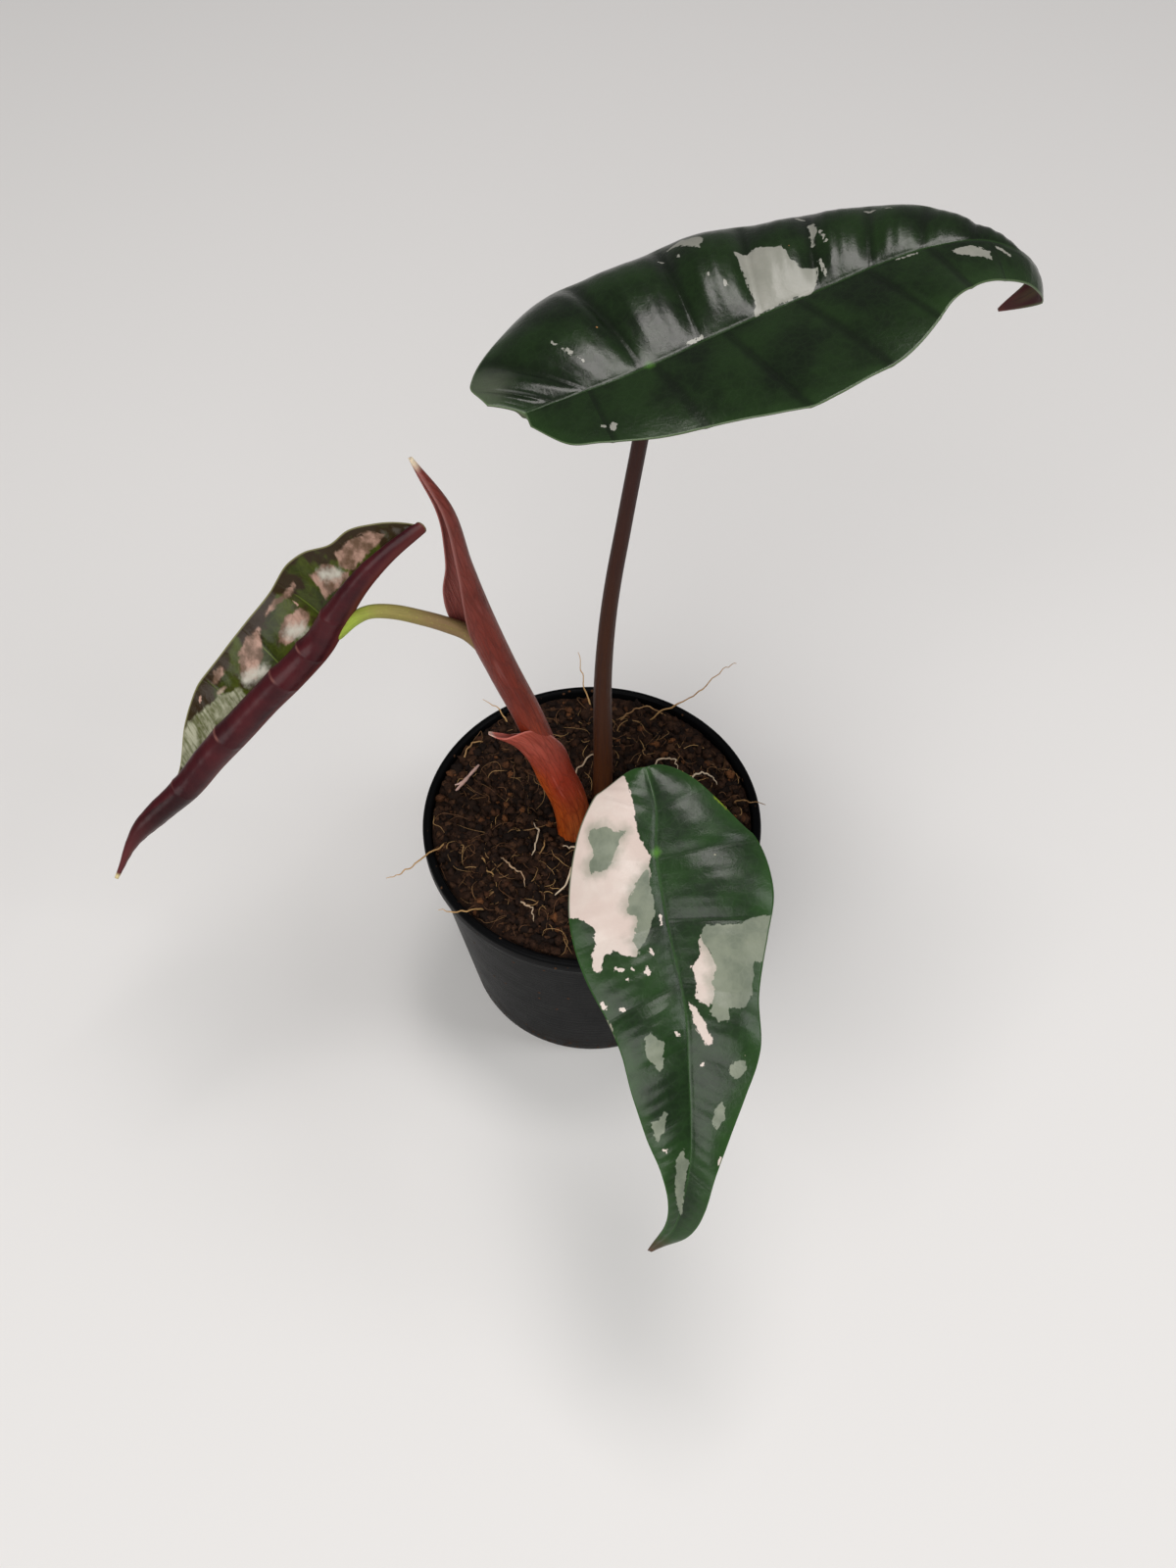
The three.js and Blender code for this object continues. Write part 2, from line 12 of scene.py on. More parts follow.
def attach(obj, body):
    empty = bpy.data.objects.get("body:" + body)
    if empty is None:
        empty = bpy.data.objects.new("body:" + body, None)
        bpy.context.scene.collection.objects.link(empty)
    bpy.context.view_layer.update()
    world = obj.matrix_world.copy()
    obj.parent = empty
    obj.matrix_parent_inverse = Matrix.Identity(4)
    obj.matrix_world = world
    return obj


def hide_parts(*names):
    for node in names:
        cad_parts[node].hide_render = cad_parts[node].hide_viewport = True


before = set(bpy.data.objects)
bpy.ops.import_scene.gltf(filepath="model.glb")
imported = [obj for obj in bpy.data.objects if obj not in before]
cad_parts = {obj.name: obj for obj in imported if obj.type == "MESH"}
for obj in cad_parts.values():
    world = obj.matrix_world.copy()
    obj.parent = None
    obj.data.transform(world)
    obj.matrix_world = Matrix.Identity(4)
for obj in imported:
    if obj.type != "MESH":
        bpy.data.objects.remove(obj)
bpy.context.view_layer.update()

MM = 0.001
rng = np.random.default_rng(7)

# Camera: a pinhole fitted to the pot's two ellipses in a 1200 by 1600 frame.
CAMERA_PLACE = (-1.2, -324.1, 555.9)
CAMERA_PITCH = 54.8
CAMERA_LENS = 42.75
SENSOR = 36

# Pot and potting mix, as in the part's source.
POT_HEIGHT = 78
RIM_RADIUS = 52.5
BASE_RADIUS = 40
WALL = 1.1
LIP_WIDTH = 2.6
LIP_HEIGHT = 4.5
FLOOR_THICKNESS = 1.4
DRAIN_COUNT = 6
DRAIN_RADIUS = 4
DRAIN_RING = 27
GAP = 0.3
SOIL_LEVEL = 74
SOIL_MOUND = 1.6

# The blades, on the midribs of the part's source, with finer keys for the rest. Keys are spread evenly
# from base to tip, and angles are in degrees. A half without sweep or rise has none. Outlines of cream
# and sage, and streaks of fleck, of yellow spot and of painted highlight glint, lie on the flattened
# blade: mm along the midrib, then mm to its left. A streak is (x1, y1, x2, y2, radius).
BACK_LEAF = {
    "rows": 230, "columns": 54, "thickness": 0.5, "midrib": 1.5,
    "spine": [
        (-16.5, 9, 239.5), (-4, 13.5, 241.5), (8.5, 18.5, 243), (20.5, 24.5, 244.5), (32.5, 30, 247),
        (45, 34.5, 250), (57.5, 39, 253), (70, 43, 256.5), (83, 45.5, 260), (96, 46.5, 261),
        (107.5, 47.5, 255), (113, 49.5, 244), (104, 50, 236),
    ],
    "across": (0, 1, 0),
    "left": {
        "width": [
            9.5, 20, 27, 33, 39.5, 39.6, 38.5, 37.2, 35.5, 33.6, 32, 31.2, 29.5, 26.4, 22.5, 18.8, 15.5,
            13, 11, 9.2, 7.5, 6.3, 5, 2.9, 0.6,
        ],
        "sweep": [-56, -52, -10, 6, 10, 14, 18, 20, 18, 14, 8, 0, 0],
        "rise": [20, 12, 13, 15, 20, 15, 14.5, 13, 10, -2, -16, -20, -20],
        "curl": [-20, -22, -36, -39, -46, -38, -39, -37, -38, -38, -30, -30, -30],
        "bend": [1, 1, 1.5, 1.8, 1.8, 1.8, 1.8, 1.6, 1.2, 1, 1, 1, 1],
        "veins": [0, 0.045, 0.1, 0.19, 0.29, 0.39, 0.485, 0.57, 0.65, 0.73, 0.82, 1],
        "quilt": 3.5,
        "crest": 0.6,
        "pleat": 0.1,
    },
    "right": {
        "width": [
            4.5, 14.3, 17.8, 20.4, 23, 25.2, 28.5, 33.4, 37, 36.9, 35.5, 34.6, 32.5, 29.3, 25.5, 22, 18.5,
            15.3, 12.5, 10, 8, 6.9, 5.5, 3.1, 0.6,
        ],
        "sweep": [-2, -2, 0, 4, 10, 16, 18, 20, 18, 14, 8, 0, 0],
        "rise": [2, 0, 1, 2, 2, 2, 2, 2, 2, 0, 0, 0, 0],
        "curl": [-20, -8, -6, -5, -5, -6, -4, -4, -8, -14, -20, -20, -20],
        "veins": [0, 0.1, 0.21, 0.33, 0.45, 0.56, 0.66, 0.76, 1],
        "quilt": 0.7,
        "crest": 0.5,
        "pleat": 0.02,
    },
    "ripple": 0.8,
    "waves": 3.5,
    "attach": 32.5,
    "vein_rib": 0.25,
    "cream": [
        [(64, 19), (68.5, 18), (75, 14.5), (75.5, 10.5), (77, 7), (80, 6), (78.5, 2.5), (76.5, 0.3),
         (61, 0.3), (62.5, 3), (63, 7.5), (63.5, 13.5)],
        [(52, 31), (56, 30.5), (59.5, 28), (59, 25), (57.5, 23), (56, 25), (55, 28)],
        [(84, 22), (85.5, 19.5), (84, 16), (82.5, 12.5), (81.5, 12.5), (82.5, 16)],
        [(110.5, -3), (115.5, -2.2), (120, -4.2), (120, -7), (114.5, -6.2), (111.5, -4.8)],
    ],
    "fleck": [
        (85, 15.5, 85, 11.5, 0.45), (81.5, 7.5, 81, 3, 0.5), (44, 1, 47.5, 1, 0.6), (15, 12, 16, 10, 0.7),
        (13, 15.5, 13.5, 14, 0.5), (17, 8.5, 18, 7, 0.4), (17, -15, 17.5, -14, 0.8),
        (15.5, -13.5, 15, -13, 0.5), (82.5, 25, 84, 23.5, 0.5), (97.5, 18.5, 98.5, 17.5, 0.5),
        (101, 16, 101.5, 15.5, 0.4), (49.5, 28, 50.5, 26.5, 0.4), (58.5, 11.5, 58.5, 9.5, 0.45),
        (122.5, -2, 126, -3.5, 0.5), (97.5, -0.8, 102.5, -1.2, 0.35), (53, 25, 53.5, 24.5, 0.35),
        (56, 15, 56.3, 14.5, 0.35),
    ],
    "lobe": (-7, 10.5, 6),
}
FRONT_HALF = {
    "sweep": [-22, -22, -8, 4, 12, 18, 22, 26, 28, 30, 30, 20, 0],
    "rise": [6, 8, 10, 12, 12, 12, 12, 12, 12, 14, 14, 10, 0],
    "curl": [-40, -30, -26, -24, -24, -24, -22, -18, -12, -10, -10, 0, 0],
    "veins": [0, 0.09, 0.18, 0.3, 0.42, 0.54, 0.66, 0.78, 0.9, 1],
    "crest": 0.5,
}
FRONT_LEAF = {
    "rows": 210, "columns": 48, "thickness": 0.5, "midrib": 1.4,
    "spine": [
        (14, -39, 159.5), (16.5, -49.5, 156), (16.5, -60, 151), (18, -70.5, 146.5), (20, -80.5, 142),
        (22.5, -91.5, 138), (24, -102, 134), (24.5, -111.5, 128), (25, -120, 120.5), (25, -128, 112),
        (23.5, -134.5, 103), (21, -139.5, 93), (15, -142, 84),
    ],
    "across": (1, 0, 0),
    "left": {
        **FRONT_HALF,
        "width": [9, 14.2, 26.2, 29, 25, 20.5, 19.5, 15.5, 11.5, 8, 7, 4.5, 0.6],
        "quilt": 0.95,
        "pleat": 0.05,
    },
    "right": {
        **FRONT_HALF,
        "width": [10.5, 16, 21.5, 25, 24.5, 21.5, 18.5, 16, 13, 8.5, 4.5, 2.5, 0.6],
        "quilt": 1,
        "pleat": 0.08,
    },
    "round_base": 0.11,
    "ripple": 0.6,
    "waves": 4,
    "attach": 23,
    "vein_rib": 0.25,
    "cream": [
        [(1, -5.5), (13, -6), (17.5, -5), (24, -1.6), (31, -2.6), (38.5, -2.8), (45, -6.5), (49, -10),
         (48.5, -12.5), (46.5, -15), (47.5, -18), (50.5, -19), (52, -20.5), (50, -21.5), (46.5, -21),
         (44, -19), (42, -19.5), (41, -18.5), (38.5, -20), (37, -22.5), (36, -27), (26, -30), (12, -26),
         (2, -18), (-2, -10)],
        [(46.5, 8), (49, 8.5), (53.5, 10), (56, 10.5), (58.5, 9), (61.5, 9), (64.5, 6), (63, 4), (61.5, 3),
         (58.5, 4), (54, 3.5), (51.5, 6.5), (48.5, 7)],
        [(62.5, 1), (64, 3), (68.5, 5), (72.5, 6.5), (73.5, 6), (73.5, 4), (69.5, 2.5), (66.5, 1.5)],
        [(61.5, -22), (63.5, -20), (70, -18.6), (70, -21), (65, -23)],
    ],
    "fleck": [
        (102.5, 7.5, 104, 7.5, 0.5), (58.5, -21, 59.5, -20.5, 0.7), (52.5, -8, 53.5, -8, 0.7),
        (51, -15.5, 51.5, -14, 0.5), (61, -16.5, 61.5, -15.5, 0.6), (70, -3, 70.5, -2.5, 0.5),
        (78, 3.5, 78.5, 3.3, 0.45), (100, -7, 100.5, -6.5, 0.5), (39.5, -1.6, 42, -1.6, 0.35),
        (54, -13.5, 54.2, -13, 0.4), (48, -6, 49, -5.5, 0.5), (51.5, -12, 52, -11.5, 0.35),
    ],
    "sage": [
        [(26.5, -2.3), (31, -2.6), (38.5, -2.6), (41, -4.2), (45, -6.3), (48.5, -9), (45, -10), (42.5, -8.5),
         (38.5, -8), (37.5, -10), (34, -9), (30.5, -6.5), (28, -4)],
        [(17, -17), (17, -13), (18, -11), (18, -8), (22.5, -10.5), (25, -12), (26, -13.5), (26.5, -17.5),
         (24, -18), (22, -16.5), (19, -17.5)],
        [(44.5, 9.5), (45.5, 18.5), (44.5, 22), (44.5, 32), (57, 29), (56.5, 19.5), (63.5, 17.5), (66, 15),
         (65.5, 11), (68.5, 11), (68.5, 8), (66, 6), (61.5, 8), (58.5, 8), (56, 9.5), (53.5, 9), (49, 8),
         (46.5, 8)],
        [(70, -11), (69, -9.5), (72.5, -6), (77, -6.5), (79.5, -7.5), (76, -11), (73, -11.5)],
        [(92.5, -10.5), (92, -8.5), (89.5, -7), (90.5, -6.2), (95.5, -7), (98, -8.5), (96, -10)],
        [(102.5, -4), (100, -2), (102.5, -1.5), (103.5, 0), (107, -0.5), (112, -0.3), (121, 0.5),
         (118.5, -1), (112, -3)],
        [(87, 8), (89.5, 9), (92.5, 8.5), (95, 6.5), (94, 5), (90.5, 6)],
        [(80.5, 9.5), (77.5, 11.5), (77.5, 14.5), (80.5, 14.5), (82, 11.5)],
    ],
    "glow": [(8.5, 15.5, 11, 19.5, 0), (22, 27.6, 26, 29.4, 0)],
    "lobe": (16, 27, 0),
}
# The young leaf is still rolled: its left half winds into a tube over the open right half.
YOUNG_LEAF = {
    "rows": 200, "columns": 56, "thickness": 0.45, "midrib": 1.3,
    "spine": [
        (-45, 12, 196), (-53.5, 8, 189.5), (-61, 4.5, 181), (-67, 1.5, 171), (-72.5, -1, 161),
        (-80.5, -5.5, 153), (-88.5, -9.5, 146), (-96.5, -13.5, 138), (-104.5, -17.5, 130.5),
        (-112.5, -22, 122.5), (-121.5, -26.5, 117), (-130.5, -32, 111.5), (-136.5, -38, 103.5),
    ],
    "across": (-0.1, -0.85, 0.5),
    "left": {
        "width": [
            4, 6.5, 9, 11.5, 14, 16.5, 19, 21, 23, 24.2, 25, 25, 25, 25, 25, 25, 25, 24, 22.5, 20.8, 18.8,
            15, 7.5, 2.8, 0.8,
        ],
        "sweep": [-50, -25, -5, 5, 8, 10, 12, 14, 16, 18, 20, 20, 0],
        "curl": [300, 380, 390, 390, 390, 390, 390, 390, 390, 390, 390, 390, 390],
        "bend": [1.3],
        "veins": [0, 0.13, 0.25, 0.35, 0.43, 0.6, 0.75, 1],
        "quilt": 0.55,
        "crest": 0.4,
        "pleat": 0.02,
    },
    "right": {
        "width": [
            1, 6.5, 11, 15, 16.8, 22.5, 25.5, 26.3, 26.5, 26.3, 26, 25.3, 24.5, 24, 23.5, 21.8, 19.5, 16.3,
            13, 10.7, 8.5, 6, 3.5, 1.8, 0.8,
        ],
        "sweep": [-20, -20, -5, 5, 8, 10, 12, 14, 16, 18, 20, 20, 0],
        "rise": [0, 0, 0, 0, 0, 0, 0, 0, -10, -30, -55, -55, -55],
        "curl": [95],
        "bend": [0.5],
        "veins": [0, 0.15, 0.3, 0.43, 0.56, 0.7, 1],
        "quilt": 0.9,
        "crest": 0.5,
        "pleat": 0.08,
    },
    "round_base": 0.02,
    "ripple": 0.6,
    "waves": 3,
    "attach": 42,
    "vein_rib": 0.05,
    "cream": [
        [(36, -19), (29, -16.5), (26, -13.5), (27.5, -11.5), (24.5, -8), (27.5, -7), (34.5, -9.5),
         (38.5, -10.5), (37, -15)],
        [(57.5, -24), (52.5, -24.5), (45.5, -23), (40.5, -22), (42.5, -20), (47, -20.5), (52.5, -22),
         (57, -22.5)],
        [(57, -17.5), (52.5, -19), (47, -17), (45.5, -13.5), (50, -11.5), (57, -12), (59, -15)],
        [(72, -21), (66.5, -23), (60, -22), (63, -18.5), (66.5, -14.5), (71.5, -11.5), (75.5, -13.5),
         (75, -17)],
        [(84.5, -20.3), (80.5, -22.5), (77.5, -21.5), (78, -19.8), (83, -18.7)],
        [(85, -18), (80.5, -17.5), (80.5, -15.8), (84.8, -16.5)],
        [(23.5, -14.5), (15.5, -12.5), (10, -9.5), (8, -5.5), (12.5, -5.5), (20, -6.5), (24, -7), (26, -11)],
    ],
    "fleck": [(47, -19.5, 47, -18, 0.4), (90, -20, 91, -19.5, 0.5)],
    # Painted highlight: pale glints on the inner face beside the tube.
    "glow": [(32, -15, 28, -11, 0), (51, -12.5, 54, -14.5, 0.2), (68, -12, 74, -14, 0.2)],
    "sage": [
        [(109, -15), (101.5, -19), (93.5, -18), (84, -16.8), (77, -14.2), (76.5, -9), (89, -7), (100, -8),
         (108, -10)],
    ],
    "lobe": (16, 27, 0),
}
# A rolled bract gives the centre line of its roll, with the roll's radius along it, and not its midrib.
TALL_SHEATH = {
    "rows": 170, "columns": 32, "thickness": 0.55, "midrib": 0,
    "spine": [
        (-5, -3, 70), (-6.6, -3, 91), (-12.5, -2, 111), (-18.5, 0, 131), (-25, 1, 151), (-31, 2.3, 171),
        (-34.5, 4, 190), (-37.5, 5.5, 209), (-45.5, 8, 225),
    ],
    "roll": [3.7, 3.7, 3.7, 3.7, 3.75, 3.9, 2.6, 1.6, 0.3],
    "across": (-0.38, 0.89, -0.18),
    "left": {
        "width": [
            11.4, 11.4, 11.4, 11.4, 11.4, 11.3, 11.2, 11, 10.6, 9.8, 12.8, 11.6, 7.8, 6.2, 4.8, 3, 0.6,
        ],
        "curl": [176, 176, 176, 176, 176, 176, 174, 172, 168, 146, 124, 118, 128, 140, 140, 130, 100],
        "bend": [1, 1, 1, 1, 1, 1, 1, 1, 1, 0.9, 0.7, 0.7, 0.85, 1, 1, 1, 1],
    },
    "right": {
        "width": [11.4, 11.4, 11.4, 12, 13.4, 10.6, 5.8, 3.6, 0.6],
        "curl": [176, 176, 176, 182, 200, 154, 140, 140, 100],
    },
}
# The short sheath follows the tall one at the places in wraps, and then goes its own way.
SHORT_SHEATH = {
    "rows": 100, "columns": 32, "thickness": 0.55, "midrib": 0,
    "spine": [(-19.5, -1.9, 125.5), (-28, -2.9, 130.5)],
    "wraps": [0.02, 0.085, 0.15, 0.215, 0.28],
    "roll": [4.9, 4.9, 4.95, 5.1, 5.1, 4.7, 3.4],
    "across": (0.43, -0.89, 0.14),
    "left": {
        "width": [14.4, 14.4, 14.6, 14.8, 14.4, 10.2, 0.6],
        "sweep": [0, 0, 0, 0, 6, 14, 0],
        "curl": [168, 168, 168, 168, 158, 130, 20],
    },
    "right": {
        "width": [14.4, 14.4, 14.6, 13.6, 8.5, 3, 0.6],
        "sweep": [0, 0, 0, 0, 6, 14, 0],
        "curl": [168, 168, 168, 152, 100, 50, 20],
    },
}

# Stalks: centre lines from the crown to the blade, and radii along them.
STALK_FOOT = 65
BACK_STALK = {
    "path": [
        (2.6, 5, STALK_FOOT), (3, 3.2, 86), (3.3, 1.8, 104), (3.1, 2.6, 121), (3, 4.7, 138),
        (3.5, 7, 151.5), (4.5, 9.5, 165), (6, 12, 178), (8, 14.5, 192), (9.8, 16.5, 205),
        (11.8, 18.7, 219), (13.4, 20.2, 232), (14.4, 21, 242.4),
    ],
    "radii": [3.3, 3, 2.75, 2.5, 2.3, 2.2, 2.1, 2.1, 2.5],
}
FRONT_STALK = {
    "path": [
        (4.8, -4.5, STALK_FOOT), (7, -6.5, 84), (9.6, -10.5, 101), (12, -17, 117), (14, -26, 131),
        (15.6, -37, 141.5), (16.4, -48, 146.5), (16.6, -55.5, 148.4), (16.5, -58.5, 148.8),
    ],
    "radii": [3.2, 2.9, 2.6, 2.4, 2.2, 2, 1.7],
}
YOUNG_STALK = {
    "path": [
        (-5, -3, STALK_FOOT), (-6.6, -2.9, 90), (-12.6, -1.9, 110), (-18.6, 0.1, 131), (-24.2, 0.9, 148),
        (-28.6, 1.2, 158), (-33.6, 1, 166), (-39.5, 0.5, 170.4), (-46, 0.4, 173.4), (-53, 0.8, 175.2),
        (-59.5, 1.4, 174.6), (-64.5, 1.6, 171.2), (-69.5, 1.2, 166),
    ],
    "radii": [2.9, 2.7, 2.6, 2.5, 2.3, 2.1, 2, 1.9, 2.1],
}

# Long coir strands that stand out of the mix, as in the part's source, pale roots on the mix, and a
# splinter of bark with its fork, each a list of points. The lifts bring them up to the crumbs.
STRANDS = [
    [(15.4, 39, 69.5), (21, 40.5, 77), (27, 41, 81), (34, 44, 83.5), (41, 50, 86.5), (46.5, 52.5, 88)],
    [(0.7, 44, 69.5), (-0.8, 45.5, 77), (-2.8, 50, 82.5), (-4.4, 58, 87)],
    [(-26, 36, 69.5), (-27, 38, 75), (-30, 40.5, 79.5), (-35, 43, 81.5)],
    [(-40, 21, 69.5), (-41, 25, 74.5), (-37.5, 30, 76), (-33, 31, 73.5), (-31, 29, 69.5)],
    [(-44.5, -3.7, 69.5), (-46, -8.9, 76), (-52.4, -19, 81.5), (-57, -24, 83), (-61.5, -26.5, 84)],
    [(-31, -30, 69.5), (-34, -33, 77), (-40, -36.5, 81.5), (-45.5, -37, 83)],
    [(43, 9.5, 69.5), (46.5, 6.5, 77.5), (53.5, 1.5, 82)],
    [(8, 38, 69.5), (10, 41, 74), (16, 43, 77.5), (23, 42.5, 75), (26.5, 40.5, 69.5)],
    [(-35.3, -8.8, 69.5), (-33.8, -12.6, 74), (-31.2, -18.6, 75), (-25.7, -22.2, 74), (-24.8, -26.6, 69.5)],
    [(-20.1, -20.7, 69.5), (-16.9, -13.7, 74.5), (-14, -6.5, 75.5), (-15, 3, 69.5)],
]
ROOTS = [
    [(-28, -13.5, 73), (-26, -16.5, 75), (-23.5, -19.5, 75.6), (-21, -21, 75), (-20.5, -24.5, 73)],
    [(-22.5, -28, 73), (-20.5, -31, 74.6), (-18, -33, 74.6), (-17.5, -36, 72.5)],
    [(-12.5, -29, 73), (-8.5, -25, 75.5), (-5, -17, 77.5), (-2.5, -9, 75)],
    [(-9, -10, 74), (-5.5, -12, 76.5), (-2, -10.5, 76.5), (-1.5, -8, 73)],
    [(-6.5, 14, 74), (-3.5, 18.5, 76.5), (0.5, 23.5, 76), (2, 25, 73)],
    [(18, 18, 74), (21.5, 21, 76), (26, 22, 75.5), (27.5, 19, 73)],
    [(30, 13, 73.5), (33, 16, 75.4), (37, 16.5, 75), (39.5, 14, 72.6)],
    [(-18, -1, 73.8), (-16.5, -6, 75.5), (-17.5, -11, 75.2), (-19, -14, 73.2)],
]
CHIP_STEM = [(-42.6, 10.6, 75.6), (-40, 14, 76.2), (-37.5, 17.6, 76.3), (-35.7, 20.3, 76)]
CHIP_FORK = [(-43, 12.6, 76), (-41.8, 12.9, 76.2), (-40.3, 13.9, 76.3)]
STRAND_LIFT = (0, 0, 1.2)
ROOT_LIFT = (0, 0, 3.6)
CHIP_LIFT = (0, 0, 2.1)

# Where the stems leave the mix, with the radius that crumbs and coir keep clear of them.
STEM_FEET = [(-5, -3, 5.6), (2.8, 4, 3.4), (5.4, -5, 3.4)]
CRUMB_RINGS = 5
CRUMB_SIDES = 8
COIR_COUNT = 420


def along(keys, s):
    """Values at s, from 0 to 1, of a smooth curve through evenly spread keys, numbers or points."""
    keys = np.asarray(keys, float)
    last = len(keys) - 1
    if last == 0:
        return np.broadcast_to(keys[0], np.shape(s) + keys.shape[1:])
    padded = np.concatenate([[2 * keys[0] - keys[1]], keys, [2 * keys[-1] - keys[-2]]])
    place = np.clip(s, 0, 1) * last
    index = np.minimum(place.astype(int), last - 1)
    f = (place - index).reshape(place.shape + (1,) * (keys.ndim - 1))
    p0, p1, p2, p3 = (padded[index + k] for k in range(4))
    return p1 + 0.5 * f * (p2 - p0 + f * (2 * p0 - 5 * p1 + 4 * p2 - p3 + f * (3 * (p1 - p2) + p3 - p0)))


def unit(vectors):
    """The same vectors at length 1."""
    return vectors / np.linalg.norm(vectors, axis=-1, keepdims=True)


def tangents(keys, s):
    """Unit directions of a curve through those keys."""
    step = 1e-3
    return unit(along(keys, np.minimum(s + step, 1)) - along(keys, np.maximum(s - step, 0)))


def make_object(name, points, faces, material, values=None, flat=None):
    """A smooth mesh object from points in millimetres, with its attributes, riding on the root body."""
    mesh = bpy.data.meshes.new(name)
    mesh.from_pydata((np.asarray(points, float) * MM).tolist(), [], [list(map(int, face)) for face in faces])
    mesh.validate()
    mesh.shade_smooth()
    for key, value in (values or {}).items():
        attribute = mesh.attributes.new(key, "FLOAT", "POINT")
        attribute.data.foreach_set("value", np.asarray(value, np.float32).ravel())
    if flat is not None:
        attribute = mesh.attributes.new("flat", "FLOAT_VECTOR", "POINT")
        attribute.data.foreach_set("vector", np.asarray(flat, np.float32).ravel())
    mesh.materials.append(material)
    piece = bpy.data.objects.new(name, mesh)
    bpy.context.scene.collection.objects.link(piece)
    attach(piece, "root")
    return piece


def grid_faces(rows, columns, closed=False, start=0, flip=False):
    """Quads of a grid of points; closed joins its last column to its first."""
    r, c = np.meshgrid(np.arange(rows - 1), np.arange(columns if closed else columns - 1), indexing="ij")
    a = start + r * columns + c
    b = start + r * columns + (c + 1) % columns
    quads = np.stack([a, b, b + columns, a + columns], axis=-1).reshape(-1, 4)
    return quads[:, ::-1] if flip else quads


def outline_depth(outline, x, y):
    """How far each point lies inside a closed outline, in mm; negative outside."""
    corners = np.array(outline, float)
    nearest = np.full(x.shape, np.inf)
    inside = np.zeros(x.shape, bool)
    for (ax, ay), (bx, by) in zip(corners, np.roll(corners, -1, axis=0)):
        t = np.clip(((x - ax) * (bx - ax) + (y - ay) * (by - ay)) / ((bx - ax) ** 2 + (by - ay) ** 2), 0, 1)
        nearest = np.minimum(nearest, np.hypot(x - ax - t * (bx - ax), y - ay - t * (by - ay)))
        if ay != by:
            crosses = (ay > y) != (by > y)
            inside ^= crosses & (x < ax + (bx - ax) * (y - ay) / (by - ay))
    return np.where(inside, nearest, -nearest)


def streak_depth(streak, x, y):
    """How far each point lies inside a round-ended streak, in mm."""
    ax, ay, bx, by, radius = streak
    span = max((bx - ax) ** 2 + (by - ay) ** 2, 1e-6)
    t = np.clip(((x - ax) * (bx - ax) + (y - ay) * (by - ay)) / span, 0, 1)
    return radius - np.hypot(x - ax - t * (bx - ax), y - ay - t * (by - ay))


def blade_grid(leaf):
    """Upper face of a blade without relief: points, normals and what is known of each point."""
    rows, columns = leaf["rows"], leaf["columns"]
    s = np.linspace(0, 1, rows + 1)
    spine = along(leaf["spine"], s)
    length = np.linalg.norm(np.diff(spine, axis=0), axis=1).sum()
    forward = tangents(leaf["spine"], s)
    up = unit(np.cross(forward, np.array(leaf["across"], float)))
    to_left = np.cross(up, forward)
    if "roll" in leaf:
        spine = spine - up * along(leaf["roll"], s)[:, None]
    shape = (rows + 1, 2 * columns + 1)
    points = np.zeros(shape + (3,))
    normals = np.zeros(shape + (3,))
    flat = np.zeros(shape + (3,))
    across = np.zeros(shape)
    edge = np.zeros(shape)
    points[:, columns] = spine
    normals[:, columns] = up
    flat[:, :, 0] = (s * length)[:, None]
    for side, sign in (("left", 1), ("right", -1)):
        half = leaf[side]
        width = along(half["width"], s)
        sweep, rise, curl = (np.radians(along(half.get(key, [0]), s)) for key in ("sweep", "rise", "curl"))
        bend = along(half.get("bend", [1]), s)
        if "round_base" in leaf:
            start = np.clip(s / leaf["round_base"], 0, 1)
            width = np.maximum(width * np.sqrt(1 - (1 - start) ** 2), 0.3)
        outward = sign * to_left * np.cos(sweep)[:, None] + forward * np.sin(sweep)[:, None]
        place = spine.copy()
        for column in range(1, columns + 1):
            angle = (rise + curl * ((column - 0.5) / columns) ** bend)[:, None]
            place = place + (outward * np.cos(angle) + up * np.sin(angle)) * (width / columns)[:, None]
            angle = (rise + curl * (column / columns) ** bend)[:, None]
            k = columns + sign * column
            points[:, k] = place
            normals[:, k] = up * np.cos(angle) - outward * np.sin(angle)
            reach = width * column / columns
            flat[:, k, 0] += reach * np.sin(sweep)
            flat[:, k, 1] = sign * reach * np.cos(sweep)
            across[:, k] = sign * reach
            edge[:, k] = width - reach
    edge[:, columns] = np.minimum(edge[:, columns - 1], edge[:, columns + 1])
    edge = np.minimum(edge, (s * length)[:, None])
    share = np.broadcast_to(np.linspace(-1, 1, 2 * columns + 1), shape)
    return {
        "s": np.broadcast_to(s[:, None], shape), "share": share, "length": length, "points": points,
        "normals": normals, "flat": flat, "across": across, "edge": edge,
    }


